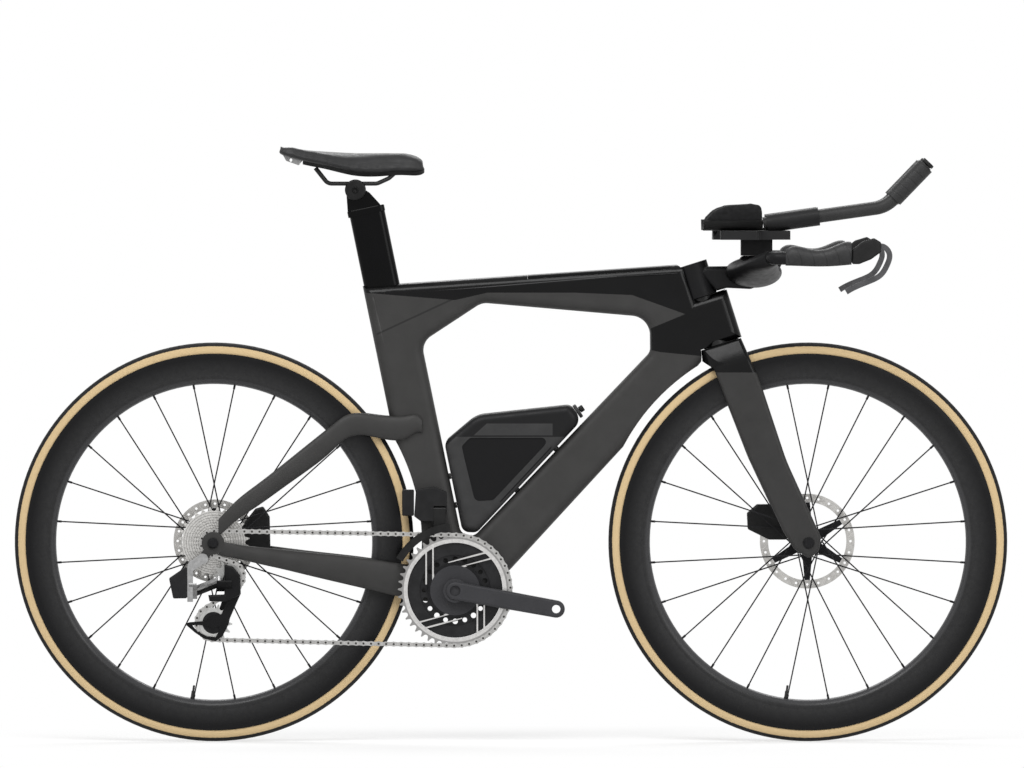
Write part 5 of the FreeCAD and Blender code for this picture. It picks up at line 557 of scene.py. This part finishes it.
def swollen(node, name, body, finish, inset, cap):
    """A cushion blown up by cloth from a slightly smaller copy of its solid, held near that solid."""
    source = nodes[node]
    piece = bpy.data.objects.new(name, source.data.copy())
    bpy.context.scene.collection.objects.link(piece)
    remesh = piece.modifiers.new("even", "REMESH")
    remesh.mode = "VOXEL"
    remesh.voxel_size = CUSHION_VOXEL
    graph = bpy.context.evaluated_depsgraph_get()
    mesh = bpy.data.meshes.new_from_object(piece.evaluated_get(graph))
    piece.modifiers.clear()
    piece.data = mesh
    normals = [vertex.normal.copy() for vertex in mesh.vertices]
    full = [vertex.co.copy() for vertex in mesh.vertices]
    for vertex, normal in zip(mesh.vertices, normals):
        vertex.co = vertex.co - normal * inset
    start = [vertex.co.copy() for vertex in mesh.vertices]
    cloth = piece.modifiers.new("swell", "CLOTH")
    cloth.settings.use_pressure = True
    cloth.settings.uniform_pressure_force = 4.0
    cloth.settings.tension_stiffness = 40.0
    cloth.settings.compression_stiffness = 40.0
    cloth.settings.effector_weights.gravity = 0.0
    cloth.settings.quality = 5
    cloth.collision_settings.use_collision = False
    cloth.point_cache.frame_start = 1
    cloth.point_cache.frame_end = LAST_STEP
    for step in range(1, LAST_STEP + 1):
        bpy.context.scene.frame_set(step)
    graph = bpy.context.evaluated_depsgraph_get()
    grown = bpy.data.meshes.new_from_object(piece.evaluated_get(graph))
    moved = [vertex.co.copy() for vertex in grown.vertices]
    piece.modifiers.clear()
    bpy.data.meshes.remove(grown)
    bpy.context.scene.frame_set(1)
    for vertex, begin, end, normal, whole in zip(mesh.vertices, start, moved, normals, full):
        shift = end - begin
        if shift.length > cap:
            shift = shift.normalized() * cap
        vertex.co = begin + shift if normal.z > REST_SLOPE else whole + normal * REST_DEPTH
    smooth = piece.modifiers.new("even_out", "SMOOTH")
    smooth.factor = 0.5
    smooth.iterations = 3
    finer = piece.modifiers.new("finer", "SUBSURF")
    finer.levels = 1
    finer.render_levels = 1
    for polygon in mesh.polygons:
        polygon.use_smooth = True
    mesh.materials.clear()
    mesh.materials.append(finish.material)
    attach(piece, body)
    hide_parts(node)
    return piece


swollen("saddle_cover", "saddle_padding", "seat", leather("saddle_leather"),
        inset=0.0012, cap=0.0022)
swollen("arm_pads", "arm_pad_foam", "front_end", foam_cloth("arm_pad_cloth"),
        inset=0.0015, cap=0.003)


def walls(form, rings):
    """Faces between each ring of points and the next."""
    for lower, upper in zip(rings, rings[1:]):
        for index in range(len(lower)):
            after = (index + 1) % len(lower)
            form.faces.new((lower[index], lower[after], upper[after], upper[index]))


def solid(name, form, finish):
    mesh = bpy.data.meshes.new(name)
    form.to_mesh(mesh)
    form.free()
    mesh.materials.append(finish.material)
    piece = bpy.data.objects.new(name, mesh)
    bpy.context.scene.collection.objects.link(piece)
    return piece


# Small turned pieces: bolt heads, valve stems and seals
def turned(name, profile, place, way, finish, body, sides=32):
    form = bmesh.new()
    rings = []
    for radius, height in profile:
        ring = []
        for index in range(sides):
            turn = index * math.tau / sides
            ring.append(form.verts.new((radius * math.cos(turn), radius * math.sin(turn), height)))
        rings.append(ring)
    walls(form, rings)
    form.faces.new(rings[0][::-1])
    form.faces.new(rings[-1])
    piece = solid(name, form, finish)
    for polygon in piece.data.polygons:
        polygon.use_smooth = True
    piece.matrix_world = Matrix.Translation(place) @ Vector(way).to_track_quat("Z", "Y").to_matrix().to_4x4()
    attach(piece, body)
    return piece


CLAMP_MIDDLE = Vector((-0.26195, 0.0, 0.92893))
CLAMP_BOLT = [(0.0056, -0.001), (0.0056, 0.0012), (0.0049, 0.002), (0.0031, 0.002), (0.0029, 0.0006),
              (0.0002, 0.0006)]
clamp_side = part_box("saddle_clamp")[1].y
for side_name, outward in (("right", -1.0), ("left", 1.0)):
    bolt_finish = anodised("clamp_bolt_" + side_name, (0.006, 0.006, 0.006))
    turned("clamp_bolt_" + side_name, CLAMP_BOLT, CLAMP_MIDDLE + Vector((0.0, clamp_side * outward, 0.0)),
           (0.0, outward, 0.0), bolt_finish, "seat")


COLLAR_MIDDLE = Vector((-0.2440, 0.0, 0.8941))
COLLAR_RINGS = ((-0.0065, 0.975), (-0.0055, 1.0), (0.0035, 1.0), (0.0045, 0.97))
COLLAR_HALF_LENGTH = 0.0318
COLLAR_HALF_WIDTH = 0.0146
COLLAR_SIDES = 64
# a power below one squares off the corners of the round
COLLAR_POWER = 0.4
POST_UP = Vector((-0.2055, 0.0, 0.9787))


def post_collar():
    """A trim band over the joint between the seat post and its head, square to the post."""
    rise = POST_UP.normalized()
    forward = Vector((rise.z, 0.0, -rise.x))
    form = bmesh.new()
    rings = []
    for height, share in COLLAR_RINGS:
        ring = []
        for index in range(COLLAR_SIDES):
            turn = index * math.tau / COLLAR_SIDES
            across, along = math.sin(turn), math.cos(turn)
            across = math.copysign(abs(across) ** COLLAR_POWER, across) * COLLAR_HALF_WIDTH * share
            along = math.copysign(abs(along) ** COLLAR_POWER, along) * COLLAR_HALF_LENGTH * share
            place = COLLAR_MIDDLE + rise * height + forward * along + Vector((0.0, across, 0.0))
            ring.append(form.verts.new(place))
        rings.append(ring)
    walls(form, rings)
    form.faces.new(rings[0])
    form.faces.new(rings[-1])
    bmesh.ops.recalc_face_normals(form, faces=form.faces)
    piece = solid("post_collar", form, gloss("collar_gloss"))
    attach(piece, "seat")
    return piece


post_collar()


HALF_PITCH = 0.00635
PIN_RINGS = ((0.0019, -0.0003), (0.0019, 0.0002), (0.0015, 0.00035))
PIN_SIDES = 12
# an outer link is as wide as the widest to within this
LINK_SLACK = 0.0004
SAME_POINT = 0.000002


def chain_links():
    """The points of each link of the chain."""
    form = bmesh.new()
    form.from_mesh(nodes["chain"].data)
    bmesh.ops.remove_doubles(form, verts=form.verts, dist=SAME_POINT)
    seen = set()
    links = []
    for vertex in form.verts:
        if vertex in seen:
            continue
        seen.add(vertex)
        island = [vertex]
        for member in island:
            for edge in member.link_edges:
                other = edge.other_vert(member)
                if other not in seen:
                    seen.add(other)
                    island.append(other)
        links.append([member.co.copy() for member in island])
    form.free()
    return links


def link_shape(link):
    """A link's middle, way and lean, and how far its two faces lie from its middle level."""
    xs = (min(p.x for p in link), max(p.x for p in link))
    zs = (min(p.z for p in link), max(p.z for p in link))
    middle = Vector((sum(xs) / 2, 0.0, sum(zs) / 2))
    spread_xx = sum((p.x - middle.x) ** 2 for p in link)
    spread_zz = sum((p.z - middle.z) ** 2 for p in link)
    spread_xz = sum((p.x - middle.x) * (p.z - middle.z) for p in link)
    turn = 0.5 * math.atan2(2.0 * spread_xz, spread_xx - spread_zz)
    way = Vector((math.cos(turn), 0.0, math.sin(turn)))
    reaches = [(p - middle).dot(way) for p in link]
    level = sum(p.y for p in link) / len(link)
    climb = sum(reach * (p.y - level) for reach, p in zip(reaches, link))
    lean = climb / sum(reach ** 2 for reach in reaches)
    heights = [p.y - level - lean * reach for reach, p in zip(reaches, link)]
    return middle, way, level, lean, min(heights), max(heights)


def chain_pins():
    """Pin heads on both faces of each outer link, found from the links' own places."""
    pins = bmesh.new()
    shapes = [link_shape(link) for link in chain_links()]
    widest = max(high - low for _, _, _, _, low, high in shapes)
    for middle, way, level, lean, low, high in shapes:
        if high - low < widest - LINK_SLACK:
            continue
        for end in (-1.0, 1.0):
            centre = middle + way * (HALF_PITCH * end)
            here = level + lean * HALF_PITCH * end
            for face, outward in ((here + low, -1.0), (here + high, 1.0)):
                rings = []
                for radius, height in PIN_RINGS:
                    ring = []
                    for index in range(PIN_SIDES):
                        angle = index * math.tau / PIN_SIDES
                        place = (centre.x + radius * math.cos(angle), face + height * outward,
                                 centre.z + radius * math.sin(angle))
                        ring.append(pins.verts.new(place))
                    rings.append(ring)
                walls(pins, rings)
                pins.faces.new(rings[-1])
    bmesh.ops.recalc_face_normals(pins, faces=pins.faces)
    piece = solid("chain_pins", pins, anodised("pin_steel", (0.05, 0.048, 0.045), None, 0.3, 0.45))
    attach(piece, nodes["chain"]["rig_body"])
    return piece


chain_pins()

# Valve stems of the two tyres, on the inside of the rims
stem_finish = anodised("valve_stem_black", (0.02, 0.02, 0.02))
VALVE = [(0.0034, 0.0), (0.0034, 0.002), (0.0029, 0.0022), (0.0029, 0.012), (0.0019, 0.0125), (0.0019, 0.021),
         (0.0012, 0.022)]
VALVE_TURN = math.radians(262)
for label, centre, body in (("front", FRONT_AXLE, "front_wheel"), ("rear", REAR_AXLE, "rear_wheel")):
    points = [vertex.co for vertex in nodes[label + "_rim"].data.vertices]
    inner = min(math.hypot(point.x - centre[0], point.z - centre[2]) for point in points)
    way = Vector((math.cos(VALVE_TURN), 0.0, math.sin(VALVE_TURN)))
    turned(label + "_valve_stem", VALVE, Vector(centre) + way * inner, -way, stem_finish, body,
           20)

# Dust seals above the fork crown and below the stem
STEER_UP = Vector((-0.3007, 0.0, 0.9537))
STEER_AHEAD = Vector((0.9537, 0.0, 0.3007))
STEER_TOP = Vector((0.3228176, 0.0, 0.7483029))
HEAD_LENGTH = 0.0835
seal_finish = plastic("seal_rubber", (0.008, 0.008, 0.008), 0.5, 0.65)
crown = STEER_TOP - STEER_UP * HEAD_LENGTH


def seal(name, place, low, high, half_length, half_width):
    profile = [(0.97, low), (1.0, low + (high - low) * 0.25), (1.0, low + (high - low) * 0.75), (0.97, high)]
    piece = turned(name, profile, place, STEER_UP, seal_finish, "frame", 72)
    aside = STEER_UP.cross(STEER_AHEAD)
    turn = Matrix((STEER_AHEAD * half_length, aside * half_width, STEER_UP)).transposed().to_4x4()
    piece.matrix_world = Matrix.Translation(place) @ turn
    return piece


seal("crown_seal", crown + STEER_AHEAD * 0.0065, -0.00125, -0.0002, 0.0305, 0.0165)
seal("stem_seal", STEER_TOP + STEER_AHEAD * 0.0085, 0.0002, 0.0013, 0.032, 0.0165)

# Camera, light, floor
camera_data = bpy.data.cameras.new("camera")
camera = bpy.data.objects.new("camera", camera_data)
bpy.context.scene.collection.objects.link(camera)
SENSOR = 36.0
CAMERA_AWAY = 20.0
VIEW_WIDTH = 1.7244
VIEW_MIDDLE = 0.0017
camera_data.sensor_width = SENSOR
camera_data.lens = CAMERA_AWAY * SENSOR / VIEW_WIDTH
camera_data.clip_end = 100.0
target = Vector((VIEW_MIDDLE, 0.0, 0.602))
camera.location = (VIEW_MIDDLE, -CAMERA_AWAY, 0.95)
camera.rotation_euler = (target - camera.location).to_track_quat("-Z", "Y").to_euler()
bpy.context.scene.camera = camera


def lamp(name, place, aim, size, power):
    data = bpy.data.lights.new(name, "AREA")
    data.shape = "RECTANGLE"
    data.size = size[0]
    data.size_y = size[1]
    data.energy = power
    thing = bpy.data.objects.new(name, data)
    bpy.context.scene.collection.objects.link(thing)
    thing.location = place
    thing.rotation_euler = (Vector(aim) - Vector(place)).to_track_quat("-Z", "Y").to_euler()
    return thing


lamp("key", (-1.2, -3.2, 4.2), (0.0, 0.0, 0.5), (3.5, 2.0), 150.0)
lamp("fill", (2.6, -3.4, 2.0), (0.1, 0.0, 0.5), (2.5, 2.0), 55.0)
lamp("back", (0.0, 3.2, 3.6), (0.0, 0.0, 0.6), (4.0, 1.5), 90.0)

def larger(tree, first, second):
    node = tree.nodes.new("ShaderNodeMath")
    node.operation = "MAXIMUM"
    tree.links.new(first, node.inputs[0])
    tree.links.new(second, node.inputs[1])
    return node.outputs[0]


# White surroundings where the camera or a reflection sees them, softer where they only light
world = bpy.data.worlds.new("studio")
bpy.context.scene.world = world
world.use_nodes = True
tree = world.node_tree
background = tree.nodes["Background"]
background.inputs["Color"].default_value = (1.0, 1.0, 1.0, 1.0)
path = tree.nodes.new("ShaderNodeLightPath")
seen = larger(tree, path.outputs["Is Camera Ray"], path.outputs["Is Glossy Ray"])
seen = larger(tree, seen, path.outputs["Is Transmission Ray"])
level = tree.nodes.new("ShaderNodeMapRange")
level.inputs["To Min"].default_value = 0.5
level.inputs["To Max"].default_value = 1.0
tree.links.new(seen, level.inputs["Value"])
tree.links.new(level.outputs["Result"], background.inputs["Strength"])


def floor():
    """A pale floor that keeps the shadow near the object and fades to white away from it."""
    mesh = bpy.data.meshes.new("floor")
    form = bmesh.new()
    corners = [form.verts.new(place) for place in ((-6, -6, 0), (6, -6, 0), (6, 6, 0), (-6, 6, 0))]
    form.faces.new(corners)
    form.to_mesh(mesh)
    form.free()
    material = bpy.data.materials.new("floor_white")
    material.use_nodes = True
    tree = material.node_tree
    tree.nodes.clear()
    output = tree.nodes.new("ShaderNodeOutputMaterial")
    matt = tree.nodes.new("ShaderNodeBsdfDiffuse")
    matt.inputs["Color"].default_value = (0.9, 0.9, 0.9, 1.0)
    glow = tree.nodes.new("ShaderNodeEmission")
    glow.inputs["Strength"].default_value = 1.0
    coords = tree.nodes.new("ShaderNodeTexCoord")
    stretch = tree.nodes.new("ShaderNodeMapping")
    stretch.inputs["Scale"].default_value = (0.72, 1.6, 1.0)
    tree.links.new(coords.outputs["Object"], stretch.inputs["Vector"])
    far = tree.nodes.new("ShaderNodeVectorMath")
    far.operation = "LENGTH"
    tree.links.new(stretch.outputs[0], far.inputs[0])
    fade = tree.nodes.new("ShaderNodeMapRange")
    fade.inputs["From Min"].default_value = 0.35
    fade.inputs["From Max"].default_value = 0.95
    fade.inputs["To Min"].default_value = 0.55
    fade.inputs["To Max"].default_value = 1.0
    tree.links.new(far.outputs["Value"], fade.inputs["Value"])
    path = tree.nodes.new("ShaderNodeLightPath")
    seen = larger(tree, path.outputs["Is Camera Ray"], path.outputs["Is Glossy Ray"])
    share = tree.nodes.new("ShaderNodeMath")
    share.operation = "MULTIPLY"
    tree.links.new(fade.outputs["Result"], share.inputs[0])
    tree.links.new(seen, share.inputs[1])
    blend = tree.nodes.new("ShaderNodeMixShader")
    tree.links.new(share.outputs[0], blend.inputs[0])
    tree.links.new(matt.outputs[0], blend.inputs[1])
    tree.links.new(glow.outputs[0], blend.inputs[2])
    tree.links.new(blend.outputs[0], output.inputs[0])
    mesh.materials.append(material)
    thing = bpy.data.objects.new("floor", mesh)
    bpy.context.scene.collection.objects.link(thing)


floor()
bpy.context.scene.view_settings.view_transform = "Standard"
